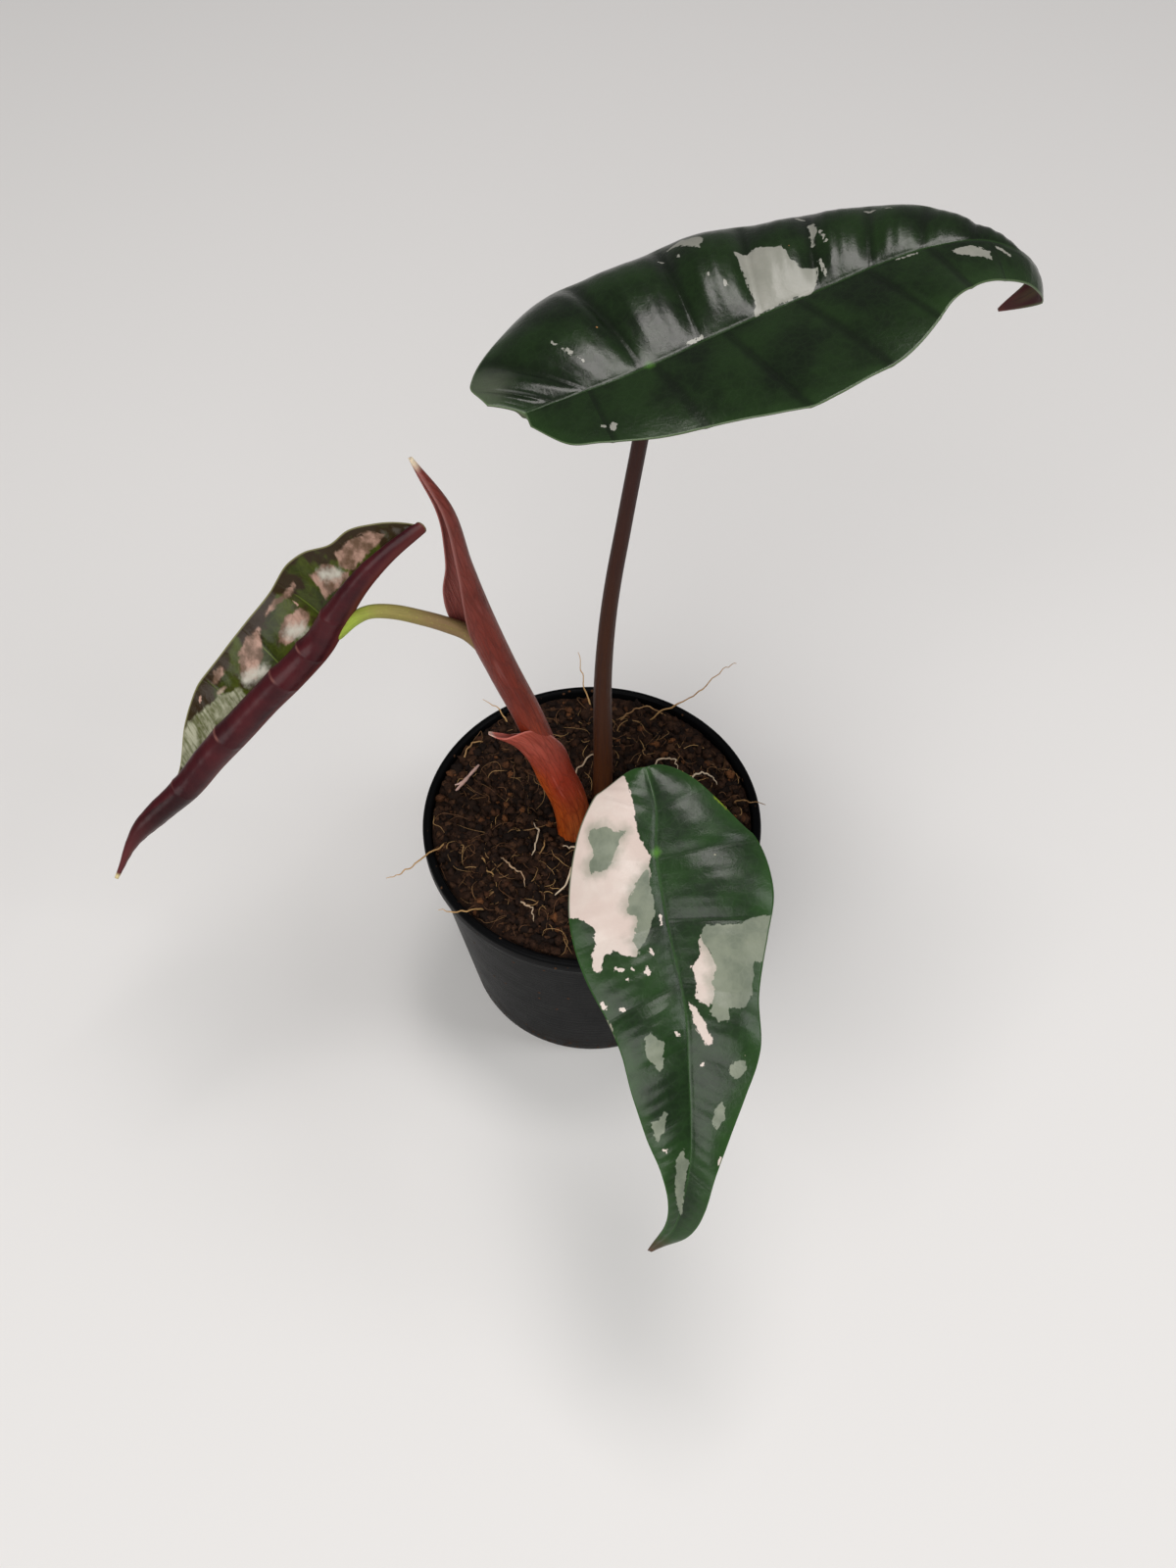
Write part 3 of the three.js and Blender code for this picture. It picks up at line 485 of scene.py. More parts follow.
def blade_relief(leaf, grid):
    """Height of the quilting, pleats and ripples, and the distance to the nearest side vein, both in mm."""
    s, u, length = grid["s"], np.abs(grid["share"]), grid["length"]
    height = leaf.get("ripple", 0) * np.sin(2 * np.pi * leaf.get("waves", 0) * s) * u ** 3
    width = np.abs(grid["across"]) / np.maximum(u, 1e-6)
    fullness = width / width.max()
    vein = np.full(s.shape, 9.0)
    for side, sign in (("left", 1), ("right", -1)):
        half = leaf[side]
        if "veins" not in half:
            continue
        here = grid["share"] * sign > 0
        crest = half["crest"]
        inner_slope = 1 - (1 - np.minimum(u / crest, 1)) ** 1.6
        outer_slope = 1 - (np.maximum(u - crest, 0) / (1 - crest)) ** 2
        body = inner_slope * outer_slope
        for start, end in zip(half["veins"], half["veins"][1:]):
            inside = here & (s >= start) & (s <= end)
            t = np.clip((s - start) / (end - start), 0, 1)
            dome = 1 - np.abs(2 * t - 1) ** 2.6
            size = half["quilt"] * min(1, (end - start) / 0.09)
            ribs = half["pleat"] * np.sin(2 * np.pi * t * max(2, round((end - start) * length / 3.6)))
            height = np.where(inside, height + (size * fullness + ribs) * dome * body, height)
            near = np.minimum(t, 1 - t) * (end - start) * length
            inner = (start > 0.02) * (end < 0.98)
            vein = np.where(inside & bool(inner), np.minimum(vein, near), vein)
    return height, vein


def blade_piece(name, leaf, material):
    """A thin blade: an upper and a lower face joined at the margin, with what its material needs."""
    rows, rib = leaf["rows"], leaf["midrib"]
    grid = blade_grid(leaf)
    height, vein = blade_relief(leaf, grid)
    normals = grid["normals"]
    upper = grid["points"] + normals * height[..., None]
    midrib = np.exp(-(grid["across"] / 1.5) ** 2) * (1 - grid["s"]) * rib
    side_rib = leaf.get("vein_rib", 0) * np.exp(-(vein / 0.6) ** 2)
    depth = leaf["thickness"] * (0.62 + 0.38 * (1 - np.abs(grid["share"]))) + midrib + side_rib
    lower = upper - normals * depth[..., None]
    upper = upper - normals * (0.16 * np.exp(-(grid["across"] / 0.7) ** 2) * (rib > 0))[..., None]
    wide = 2 * leaf["columns"] + 1
    count = (rows + 1) * wide
    faces = [grid_faces(rows + 1, wide), grid_faces(rows + 1, wide, start=count, flip=True)]
    border = np.concatenate([
        np.arange(wide), np.arange(1, rows + 1) * wide + wide - 1,
        rows * wide + np.arange(wide - 2, -1, -1), np.arange(rows - 1, 0, -1) * wide,
    ])
    following = np.roll(border, -1)
    faces.append(np.stack([border, border + count, following + count, following], axis=-1))
    x, y = grid["flat"][..., 0], grid["flat"][..., 1]
    marks = {}
    for depth_in, keys in ((outline_depth, ("cream", "sage")), (streak_depth, ("fleck", "glow"))):
        for key in keys:
            marks[key] = np.full(x.shape, -9.0)
            for form in leaf.get(key, []):
                marks[key] = np.maximum(marks[key], depth_in(form, x, y))
    if "lobe" in leaf:
        lobe_x, lobe_y, radius = leaf["lobe"]
        marks["lobe"] = radius - np.hypot(x - lobe_x, y - lobe_y)
        marks["spot"] = np.hypot(x - leaf["attach"], y)
    marks.update(vein=vein, rib=np.abs(grid["across"]), edge=grid["edge"], along=grid["s"])
    values = {key: np.tile(value.ravel(), 2) for key, value in marks.items()}
    values["under"] = np.repeat([0.0, 1.0], count)
    points = np.concatenate([upper.reshape(-1, 3), lower.reshape(-1, 3)])
    flat = np.tile(grid["flat"].reshape(-1, 3), (2, 1))
    return make_object(name, points, np.concatenate(faces), material, values, flat)


def tube_points(path, radii, rings, sides, wobble=0.0, seed=0.0):
    """Rings of points round a smooth path, and the place along it of each."""
    s = np.linspace(0, 1, rings + 1)
    centre = along(path, s)
    forward = tangents(path, s)
    radius = along(radii, s)
    if wobble:
        radius = radius * np.array([1 + wobble * noise.noise(Vector((9 * t, seed, 0))) for t in s])
    side = np.array([1, 0.2, 0.05])
    angle = 2 * np.pi * np.arange(sides) / sides
    points = []
    for k in range(rings + 1):
        side = unit(side - forward[k] * np.dot(side, forward[k]))
        other = np.cross(forward[k], side)
        ring = np.cos(angle)[:, None] * side + np.sin(angle)[:, None] * other
        points.append(centre[k] + ring * radius[k])
    return np.concatenate(points), np.repeat(s, sides)


def tube_faces(rings, sides, start=0):
    """Quads round a tube and a flat cap at each end."""
    faces = [tuple(face) for face in grid_faces(rings + 1, sides, closed=True, start=start)]
    faces.append(tuple(start + k for k in range(sides - 1, -1, -1)))
    faces.append(tuple(start + rings * sides + k for k in range(sides)))
    return faces


def stalk_piece(name, stalk, material):
    """A leaf stalk with its place along and round it as attributes, in mm."""
    rings, sides, radius = 150, 28, 2.4
    points, s = tube_points(stalk["path"], stalk["radii"], rings, sides)
    length = np.linalg.norm(np.diff(np.array(stalk["path"], float), axis=0), axis=1).sum()
    turn = 2 * np.pi * np.tile(np.arange(sides) / sides, rings + 1)
    flat = np.stack([s * length, radius * np.cos(turn), radius * np.sin(turn)], axis=-1)
    return make_object(name, points, tube_faces(rings, sides), material, {"along": s}, flat)


def toned(colour, factor, lift=0.0):
    """A colour made darker or lighter."""
    return tuple(min(1, factor * c + lift) for c in colour)


class Paint:
    """The nodes of one material, built with short calls. Inputs are sockets, numbers or colours.

    Textures lie on the flattened piece, by its attribute flat, or else on its own coordinates, in mm.
    """

    def __init__(self, name, flattened=False):
        self.material = bpy.data.materials.new(name)
        self.material.use_nodes = True
        self.tree = self.material.node_tree
        self.shader = self.tree.nodes["Principled BSDF"]
        self.vector = self.attribute("flat", "Vector") if flattened else self.scaled(
            self.node("TexCoord", {}, out="Object"), (1 / MM, 1 / MM, 1 / MM))

    def feed(self, socket, value):
        """Links a socket, or sets its own value."""
        if isinstance(value, bpy.types.NodeSocket):
            self.tree.links.new(value, socket)
        elif isinstance(value, tuple) and socket.type == "RGBA":
            socket.default_value = (*value, 1)
        else:
            socket.default_value = value

    def node(self, kind, inputs, out=0, **settings):
        """Adds a node, feeds its inputs and gives one of its outputs."""
        node = self.tree.nodes.new("ShaderNode" + kind)
        for key, value in settings.items():
            setattr(node, key, value)
        for key, value in inputs.items():
            self.feed(node.inputs[key], value)
        return node.outputs[out]

    def attribute(self, name, out="Fac"):
        return self.node("Attribute", {}, out=out, attribute_name=name)

    def math(self, operation, first, second=0.0):
        return self.node("Math", {0: first, 1: second}, operation=operation)

    def add(self, *terms):
        total = terms[0]
        for term in terms[1:]:
            total = self.math("ADD", total, term)
        return total

    def times(self, first, second):
        return self.math("MULTIPLY", first, second)

    def less(self, value):
        """One minus a value."""
        return self.math("SUBTRACT", 1.0, value)

    def step(self, value, low, high, start=0.0, end=1.0):
        """Start below low, end above high and a smooth change between."""
        inputs = {0: value, 1: low, 2: high, 3: start, 4: end}
        return self.node("MapRange", inputs, interpolation_type="SMOOTHSTEP")

    def mix(self, share, first, second):
        """A colour between two."""
        return self.node("Mix", {0: share, 6: first, 7: second}, out=2, data_type="RGBA")

    def over(self, base, colour, value, low, high, start=0.0, end=1.0):
        """A colour laid over a base, with the share that a step of the value gives."""
        return self.mix(self.step(value, low, high, start, end), base, colour)

    def scaled(self, vector, factors):
        return self.node("VectorMath", {0: vector, 1: factors}, operation="MULTIPLY")

    def noise(self, scale, detail=3.0, roughness=0.55, distortion=0.0, stretch=None):
        """Noise of a scale per mm; a stretch below 1 draws it out along that axis."""
        vector = self.scaled(self.vector, stretch) if stretch else self.vector
        inputs = {"Vector": vector, "Scale": scale, "Detail": detail, "Roughness": roughness}
        return self.node("TexNoise", {**inputs, "Distortion": distortion})

    def centred_noise(self, scale, size, detail=3.0):
        """Noise about zero, from about minus to plus half its size."""
        return self.times(self.math("SUBTRACT", self.noise(scale, detail), 0.5), size)

    def ragged(self, value, scale, size, detail=3.0):
        """A value with noise added, so that what it bounds gets an uneven border."""
        return self.add(value, self.centred_noise(scale, size, detail))

    def cells(self, scale, out="Distance", feature="F1", stretch=None):
        """A value of a pattern of cells, by default the distance to the nearest cell's middle."""
        vector = self.scaled(self.vector, stretch) if stretch else self.vector
        return self.node("TexVoronoi", {"Vector": vector, "Scale": scale}, out=out, feature=feature)

    def cell_value(self, scale):
        """A random number for each cell."""
        return self.node("SeparateColor", {0: self.cells(scale, out="Color")})

    def cell_edges(self, scale, stretch=None):
        """Distance to the nearest border between two cells."""
        return self.cells(scale, feature="DISTANCE_TO_EDGE", stretch=stretch)

    def finish(self, colour, roughness, height=None, **constants):
        """Sets the shader: a colour, a roughness, a bump height in mm and constants on its own sockets."""
        self.feed(self.shader.inputs["Base Color"], colour)
        self.feed(self.shader.inputs["Roughness"], roughness)
        for key, value in constants.items():
            self.shader.inputs[key.replace("_", " ")].default_value = value
        if height is not None:
            bump = self.node("Bump", {"Height": height, "Distance": MM, "Strength": 1.0})
            self.feed(self.shader.inputs["Normal"], bump)
        return self.material


def blade_material(name, look):
    """A leaf: tissue of two greens with veins, cream and grey-green sectors, and an underside of its own."""
    p = Paint(name, flattened=True)
    vein, rib, edge, place, under = (p.attribute(key) for key in ("vein", "rib", "edge", "along", "under"))
    tissue = p.times(p.math("SUBTRACT", p.cell_value(look["tissue"]), 0.5), 0.55)
    jagged = p.add(p.ragged(tissue, 0.3, 1.7), p.centred_noise(1.3, 0.5))
    cream, sage = (p.add(p.attribute(key), jagged) for key in ("cream", "sage"))
    cream, sage = (p.step(inside, -0.06, look["border"]) for inside in (cream, sage))
    fleck = p.step(p.ragged(p.attribute("fleck"), 1.1, 1.7), 0.0, 0.12)
    net = p.step(p.cell_edges(0.42), 0.0, 0.16)
    fine_net = p.step(p.cell_edges(1.5), 0.0, 0.2)

    green = p.over(look["deep"], look["green"], p.noise(0.055, 4.0), 0.36, 0.66)
    green = p.mix(p.times(p.less(net), 0.07), green, look["vein"])
    green = p.over(green, look["vein"], p.ragged(edge, 0.12, 5.0), 0.0, 5.5, look["rim"], 0.0)
    # Painted shade: the tissue beside each side vein is darkened toward a deep green, as the shade in the
    # creases.
    painted_crease_shade = p.ragged(vein, 0.3, 1.2)
    green = p.over(green, toned(look["deep"], 0.45), painted_crease_shade, 0.0, 2.2, look["painted_crease_shade"], 0.0)
    green = p.over(green, look["vein"], vein, 0.05, 0.3, look["vein_share"], 0.0)
    green = p.over(green, look["vein"], rib, 0.1, 0.5, look["rib_share"], 0.0)
    if "second" in look:
        brown = p.add(p.noise(0.12, 3.0), p.step(edge, 0.0, 9.0, 0.14, -0.05))
        green = p.over(green, look["second"], brown, 0.47, 0.61, 0.0, 0.9)
    sage_tone = p.over(look["sage"], look["sage_light"], p.noise(0.16, 5.0), 0.35, 0.65)
    sage_tone = p.mix(p.times(p.less(net), 0.25), sage_tone, look["sage_light"])
    if "hatch" in look:
        hatch = p.noise(1.1, 4.0, stretch=(1.0, 0.15, 1.0))
        sage_tone = p.over(sage_tone, look["green"], hatch, 0.46, 0.62, 0.0, look["hatch"])
    cream_tone = p.over(look["cream"], look["blush"], p.noise(look["blush_scale"], 5.0), 0.38, 0.62)
    cream_tone = p.mix(p.times(p.less(net), 0.2), cream_tone, look["blush"])
    halo = p.ragged(p.attribute("sage"), 0.22, 7.0, 5.0)
    cream_tone = p.over(cream_tone, look["sage_light"], halo, -3.0, 1.0, 0.0, 0.55)
    colour = p.mix(cream, green, cream_tone)
    colour = p.mix(sage, colour, sage_tone)
    colour = p.mix(fleck, colour, look["cream"])
    speck = p.step(p.cells(0.075), 0.022, 0.03, 0.8, 0.0)
    speck = p.times(speck, p.math("GREATER_THAN", p.cell_value(0.075), 0.62))
    colour = p.mix(speck, colour, look["speck"])
    # Painted sheen: a faint grey-green over the basal lobe.
    colour = p.over(colour, look["sage"], p.ragged(p.attribute("lobe"), 0.15, 5.0), -4.0, 4.0, 0.0, 0.22)
    colour = p.over(colour, look["margin"], edge, 0.15, 0.55, 0.75, 0.0)
    colour = p.over(colour, look["spot"], p.ragged(p.attribute("spot"), 0.5, 1.6), 0.2, 1.9, 0.6, 0.0)
    # Streaks of yellow-green spot on the front leaf's margin, and painted highlight glints beside the young
    # leaf's tube.
    glow = p.ragged(p.attribute("glow"), 0.7, look["spot_and_glint_noise"])
    colour = p.over(colour, look["glow"], glow, look["spot_and_glint_from"], 0.5)

    lower = p.over(look["under"], look["under_light"], p.noise(0.09, 4.0), 0.3, 0.7)
    lower = p.over(lower, look["under_rib"], rib, 0.8, 2.6, 0.8, 0.0)
    # Lines along the side veins of the underside, in a band from the midrib; on the young leaf's tube they
    # are pale pink painted glints on the creases.
    reach = p.times(p.step(rib, look["vein_from"], look["vein_from"] + 2.0),
                    p.step(rib, look["vein_reach"] - 2.0, look["vein_reach"], 1.0, 0.0))
    reach = p.times(reach, p.step(p.noise(0.2, 2.0), 0.4, 0.6, 0.4, 1.0))
    line = p.step(vein, 0.1, 0.7, look["under_vein_and_glint_share"], 0.0)
    lower = p.mix(p.times(line, reach), lower, look["under_vein_and_glint"])
    # Painted shade: on the young leaf's underside near the tail, a dark band close to the midrib stands in
    # for the shade of a fold that is not built.
    if "painted_fold_shade" in look:
        fold_shade_span = p.times(p.step(place, 0.7, 0.78), p.step(place, 0.89, 0.94, 1.0, 0.0))
        below = p.step(p.ragged(rib, 0.2, 0.8), look["painted_fold_shade"] - 0.4, look["painted_fold_shade"], 0.65, 0.0)
        lower = p.mix(p.times(fold_shade_span, below), lower, toned(look["under"], 0.3))
    lower = p.mix(p.times(p.less(net), 0.04), lower, look["under_rib"])
    lower = p.over(lower, look["margin"], edge, 0.15, 0.6, 0.5, 0.0)
    colour = p.mix(under, colour, lower)
    colour = p.over(colour, look["tip"], place, look["tip_from"], look["tip_to"], 0.0, 0.9)
    colour = p.over(colour, look["end"], place, 0.984, 0.994)

    roughness = p.add(p.ragged(look["gloss"], 0.35, 0.14), p.times(under, 0.14),
                      p.times(p.math("MAXIMUM", cream, sage), 0.06))
    height = p.add(p.times(net, 0.009), p.times(fine_net, 0.004), p.times(p.noise(0.9, 4.0), 0.01),
                   p.centred_noise(0.16, 0.22), p.step(vein, 0.0, 0.7, 0.0, 0.04),
                   p.step(rib, 0.0, 0.8, 0.0, 0.08))
    return p.finish(colour, roughness, height, Coat_Weight=look["coat"], Coat_Roughness=0.16,
                    Specular_IOR_Level=look["shine"])


def stalk_material(name, stops, streak):
    """A smooth stalk whose colour runs through stops of (place, colour), with fine dark streaks."""
    p = Paint(name, flattened=True)
    place = p.ragged(p.attribute("along"), 0.15, 0.12)
    colour = stops[0][1]
    for (start, _), (end, tone) in zip(stops, stops[1:]):
        colour = p.over(colour, tone, place, start, end)
    fibres = p.noise(1.0, 5.0, 0.65, stretch=(0.07, 1.6, 1.6))
    colour = p.over(colour, streak, fibres, 0.45, 0.72, 0.0, 0.55)
    pores = p.step(p.cells(0.9, stretch=(0.7, 1.6, 1.6)), 0.1, 0.2, 0.5, 0.0)
    colour = p.mix(p.times(pores, 0.35), colour, toned(stops[-1][1], 2.2))
    return p.finish(colour, p.ragged(0.42, 0.5, 0.2), p.ragged(p.times(fibres, 0.25), 1.4, 0.06),
                    Coat_Weight=0.02, Coat_Roughness=0.25, Specular_IOR_Level=0.12)


def sheath_material(name, low, middle, high, tip, painted_glow):
    """A thin papery sheath: red tones along it, a painted glow of light shining through the lower part of
    its back, a net of dark veins and a pale dry tip.
    """
    p = Paint(name, flattened=True)
    place = p.ragged(p.attribute("along"), 0.08, 0.16)
    colour = p.over(low, middle, place, 0.1, 0.5)
    colour = p.over(colour, high, place, 0.5, 0.85)
    # Painted light: near the back, below about three quarters of the length, the colour goes toward the glow
    # colour, as light shining through the thin tissue.
    back = p.step(p.ragged(p.attribute("rib"), 0.12, 5.0), 1.0, 6.5, 0.9, 0.0)
    colour = p.mix(p.times(back, p.step(place, 0.72, 0.5)), colour, painted_glow)
    blotch = p.noise(0.22, 4.0, 0.6, stretch=(0.35, 1.0, 1.0))
    colour = p.over(colour, toned(middle, 0.55), blotch, 0.42, 0.7, 0.0, 0.45)
    strands = p.noise(1.0, 5.0, 0.7, 0.3, stretch=(0.05, 1.5, 1.5))
    colour = p.over(colour, toned(middle, 0.4), strands, 0.5, 0.68, 0.0, 0.6)
    net = p.cell_edges(0.8, stretch=(0.13, 1.0, 1.0))
    colour = p.over(colour, toned(middle, 0.4), net, 0.0, 0.1, 0.42, 0.0)
    pale = p.noise(0.5, 3.0, stretch=(0.09, 1.0, 1.0))
    colour = p.over(colour, toned(high, 1.7, 0.04), pale, 0.58, 0.72, 0.0, 0.35)
    colour = p.over(colour, toned(high, 1.5, 0.08), p.attribute("edge"), 0.1, 0.9, 0.7, 0.0)
    # Painted light: the inner face of the roll is made paler, as if lit through the tissue.
    colour = p.over(colour, toned(high, 1.6, 0.06), p.attribute("under"), 0.4, 0.6, 0.5, 0.0)
    colour = p.over(colour, tip, p.attribute("along"), 0.968, 0.992)
    height = p.add(p.times(strands, 0.28), p.step(net, 0.0, 0.2, 0.0, 0.06), p.centred_noise(1.6, 0.05))
    return p.finish(colour, p.ragged(0.4, 0.4, 0.25), height, Coat_Weight=0.05, Coat_Roughness=0.3,
                    Specular_IOR_Level=0.2, Subsurface_Weight=0.12, Subsurface_Scale=0.002)


def pot_material():
    """Black moulded plastic with faint turning marks, dust, and splashes of soil low on the wall."""
    p = Paint("black_plastic")
    above = p.node("SeparateXYZ", {0: p.vector}, out=2)
    dust = p.noise(0.09, 5.0, 0.65)
    colour = p.over((0.003, 0.0032, 0.0036), (0.009, 0.0086, 0.0082), dust, 0.5, 0.8, 0.0, 0.22)
    wanted = p.add(p.step(above, 2.0, 16.0, 0.55, 0.0), p.step(above, 71.0, 77.0, 0.0, 0.12), 0.012)
    size = p.step(p.ragged(p.cells(0.55), 1.7, 0.3), 0.2, 0.32, 1.0, 0.0)
    splash = p.times(size, p.math("LESS_THAN", p.cell_value(0.55), wanted))
    colour = p.mix(splash, colour, (0.085, 0.042, 0.022))
    film = p.times(p.step(above, 0.0, 18.0, 0.45, 0.0), p.step(p.noise(0.2, 5.0), 0.4, 0.7))
    colour = p.mix(film, colour, (0.03, 0.019, 0.013))
    moulding = p.noise(1.0, 3.0, stretch=(0.02, 0.02, 1.6))
    height = p.add(p.times(moulding, 0.1), p.times(p.noise(2.2, 3.0), 0.035), p.times(splash, 0.25))
    roughness = p.add(0.34, p.times(splash, 0.5), p.times(film, 0.4), p.centred_noise(0.12, 0.16))
    return p.finish(colour, roughness, height, Specular_IOR_Level=0.03)


def earth_material(name, dark, light, bright):
    """Crumbs of peat and bark: a tone for each crumb, mottled, and rough."""
    p = Paint(name)
    colour = p.over(dark, light, p.ragged(p.attribute("tone"), 0.5, 0.7), 0.2, 0.9)
    colour = p.over(colour, bright, p.noise(0.35, 4.0), 0.6, 0.72, 0.0, 0.4)
    colour = p.over(colour, toned(dark, 0.35), p.noise(2.4, 4.0), 0.35, 0.62, 0.55, 0.0)
    height = p.add(p.times(p.noise(1.6, 6.0, 0.7), 0.8), p.times(p.noise(0.5, 3.0), 0.6))
    return p.finish(colour, 0.85, height, Specular_IOR_Level=0.2)


def fibre_material(name, dark, light):
    """Coir and roots: tan strands, each of its own tone, darker in places."""
    p = Paint(name)
    colour = p.over(dark, light, p.ragged(p.attribute("tone"), 0.25, 0.5), 0.15, 0.95)
    return p.finish(colour, 0.6, p.times(p.noise(3.0, 3.0), 0.12))


def wall_radius(z):
    """Radius of the pot's outer wall at a height."""
    top = RIM_RADIUS - LIP_WIDTH + WALL
    return BASE_RADIUS + (top - BASE_RADIUS) * z / (POT_HEIGHT - LIP_HEIGHT)


def arc(centre, radius, start, end, steps):
    """Points of a round stretch of a profile, in degrees."""
    turns = np.radians(np.linspace(start, end, steps))
    return [(centre[0] + radius * math.cos(a), centre[1] + radius * math.sin(a)) for a in turns]


def circle(sides):
    """Points round a circle of radius 1."""
    turn = 2 * np.pi * np.arange(sides) / sides
    return np.stack([np.cos(turn), np.sin(turn)], axis=-1)


def turned(profile, sides):
    """Points round the pot's axis: a ring for each (radius, height) of a profile."""
    return np.concatenate([np.column_stack([circle(sides) * r, np.full(sides, z)]) for r, z in profile])


def make_pot(material):
    """The nursery pot: a turned wall with a rolled lip and drainage holes cut through its floor."""
    shoulder = POT_HEIGHT - LIP_HEIGHT
    inner = RIM_RADIUS - LIP_WIDTH
    profile = [(DRAIN_RING + 8, 0.0)]
    profile += arc((BASE_RADIUS - 1, 1), 1, -90, -10, 6)
    profile += [(wall_radius(z), z) for z in np.linspace(2, shoulder - 0.7, 16)]
    profile += arc((wall_radius(shoulder) + 0.5, shoulder - 0.5), 0.5, 180, 90, 4)
    profile += arc((RIM_RADIUS - 0.6, shoulder + 0.6), 0.6, -90, 0, 5)
    profile += arc((RIM_RADIUS - 1.3, POT_HEIGHT - 1.3), 1.3, 0, 90, 9)
    profile += arc((inner + 1, POT_HEIGHT - 1), 1, 90, 180, 7)
    profile += [(inner, shoulder)]
    wall_in = np.linspace(shoulder - 2, FLOOR_THICKNESS + 1, 10)
    profile += [(wall_radius(z) - WALL, z) for z in wall_in]
    profile += arc((BASE_RADIUS - WALL - 1, FLOOR_THICKNESS + 1), 1, 0, -90, 4)
    profile += [(DRAIN_RING + 8, FLOOR_THICKNESS)]
    sides = 192
    pot = make_object("pot_shell", turned(profile, sides), tube_faces(len(profile) - 1, sides), material)
    for k in range(DRAIN_COUNT):
        turn = 2 * math.pi * k / DRAIN_COUNT
        place = Vector((DRAIN_RING * math.cos(turn), DRAIN_RING * math.sin(turn), FLOOR_THICKNESS / 2))
        bpy.ops.mesh.primitive_cylinder_add(
            vertices=40, radius=DRAIN_RADIUS * MM, depth=6 * MM, location=place * MM)
        drill = bpy.context.object
        cut = pot.modifiers.new("drain", "BOOLEAN")
        cut.operation = "DIFFERENCE"
        cut.solver = "EXACT"
        cut.object = drill
        bpy.context.view_layer.objects.active = pot
        bpy.ops.object.modifier_apply(modifier=cut.name)
        bpy.data.objects.remove(drill)
    pot.data.shade_smooth()
    pot.data.set_sharp_from_angle(angle=math.radians(40))
    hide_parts("pot")


def soil_height(x, y):
    """Height of the mix's surface: a low mound with lumps, crumbs and pits."""
    share = math.hypot(x, y) / (RIM_RADIUS - LIP_WIDTH)
    broad = 1.1 * noise.noise(Vector((x / 11, y / 11, 3.1)))
    lumps = 1.1 * abs(noise.noise(Vector((x / 4.2, y / 4.2, 7.7))))
    crumbs = 0.7 * abs(noise.noise(Vector((x / 1.7, y / 1.7, 1.3))))
    grit = 0.35 * noise.noise(Vector((x / 0.75, y / 0.75, 5.5)))
    return SOIL_LEVEL + 0.7 * SOIL_MOUND * (1 - share ** 2) + 0.9 + broad + lumps + crumbs + grit


def make_soil_bed(material):
    """The potting mix as a closed body with a crumbly top."""
    rings, sides = 84, 320
    edge = RIM_RADIUS - LIP_WIDTH - GAP
    floor = FLOOR_THICKNESS + GAP
    profile = [(wall_radius(floor) - WALL - GAP - 0.3, floor), (edge - 0.3, SOIL_LEVEL - 3)]
    points = list(turned(profile, sides))
    tones = [0.0] * len(points)
    for k in range(rings):
        for x, y in circle(sides) * edge * (1 - k / rings):
            points.append((x, y, soil_height(x, y)))
            tones.append(0.5 + 0.5 * noise.noise(Vector((x / 2.5, y / 2.5, 9))))
    faces = tube_faces(len(profile) + rings - 1, sides)
    bed = make_object("soil_bed", points, faces, material, {"tone": tones})
    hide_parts("potting_mix")


def disc_place(radius):
    """A random place on the mix, clear of the stems."""
    while True:
        x, y = rng.uniform(-radius, radius, 2)
        if math.hypot(x, y) < radius and all(math.hypot(x - a, y - b) > r for a, b, r in STEM_FEET):
            return x, y


def lump_points(centre, sizes, seed):
    """An uneven crumb: a small ball turned at random and pushed in and out."""
    tilt = Matrix.Rotation(rng.uniform(0, 2 * math.pi), 3, Vector(rng.normal(size=3)))
    points = []
    for k in range(CRUMB_RINGS + 1):
        polar = math.pi * (0.04 + 0.92 * k / CRUMB_RINGS)
        for m in range(CRUMB_SIDES):
            turn = 2 * math.pi * m / CRUMB_SIDES
            flat = math.sin(polar)
            way = Vector((flat * math.cos(turn), flat * math.sin(turn), math.cos(polar)))
            push = 1 + 0.7 * noise.noise(way * 1.9 + Vector((seed, 0, 0)))
            spot = Vector((way.x * sizes[0], way.y * sizes[1], way.z * sizes[2])) * push
            points.append(tuple(Vector(centre) + tilt @ spot))
    return points


def join_parts(name, parts, material):
    """Crumbs or strands of the mix in one piece. A part is (points, rings, sides, tone)."""
    points, faces, tones = [], [], []
    for ring_points, rings, sides, tone in parts:
        faces += tube_faces(rings, sides, len(points))
        points += list(ring_points)
        tones += [tone] * len(ring_points)
    piece = make_object(name, points, faces, material, {"tone": tones})


def make_crumbs(name, count, largest, material):
    """Loose crumbs on the mix, each with its own tone. The largest one's radius is in mm."""
    parts = []
    for k in range(count):
        x, y = disc_place(RIM_RADIUS - LIP_WIDTH - 1.4)
        size = largest * rng.uniform(0.3, 1) ** 2 + 0.25
        sizes = size * rng.uniform(0.6, 1.25, 3)
        points = lump_points((x, y, soil_height(x, y) + 0.3 * size), sizes, 3.7 * k)
        parts.append((points, CRUMB_RINGS, CRUMB_SIDES, rng.uniform()))
    join_parts(name, parts, material)


def strand(number, path, radii, rings, sides, tone):
    """A thin strand of uneven thickness, as a part to join."""
    return tube_points(path, radii, rings, sides, 0.35, 5.3 * number)[0], rings, sides, tone


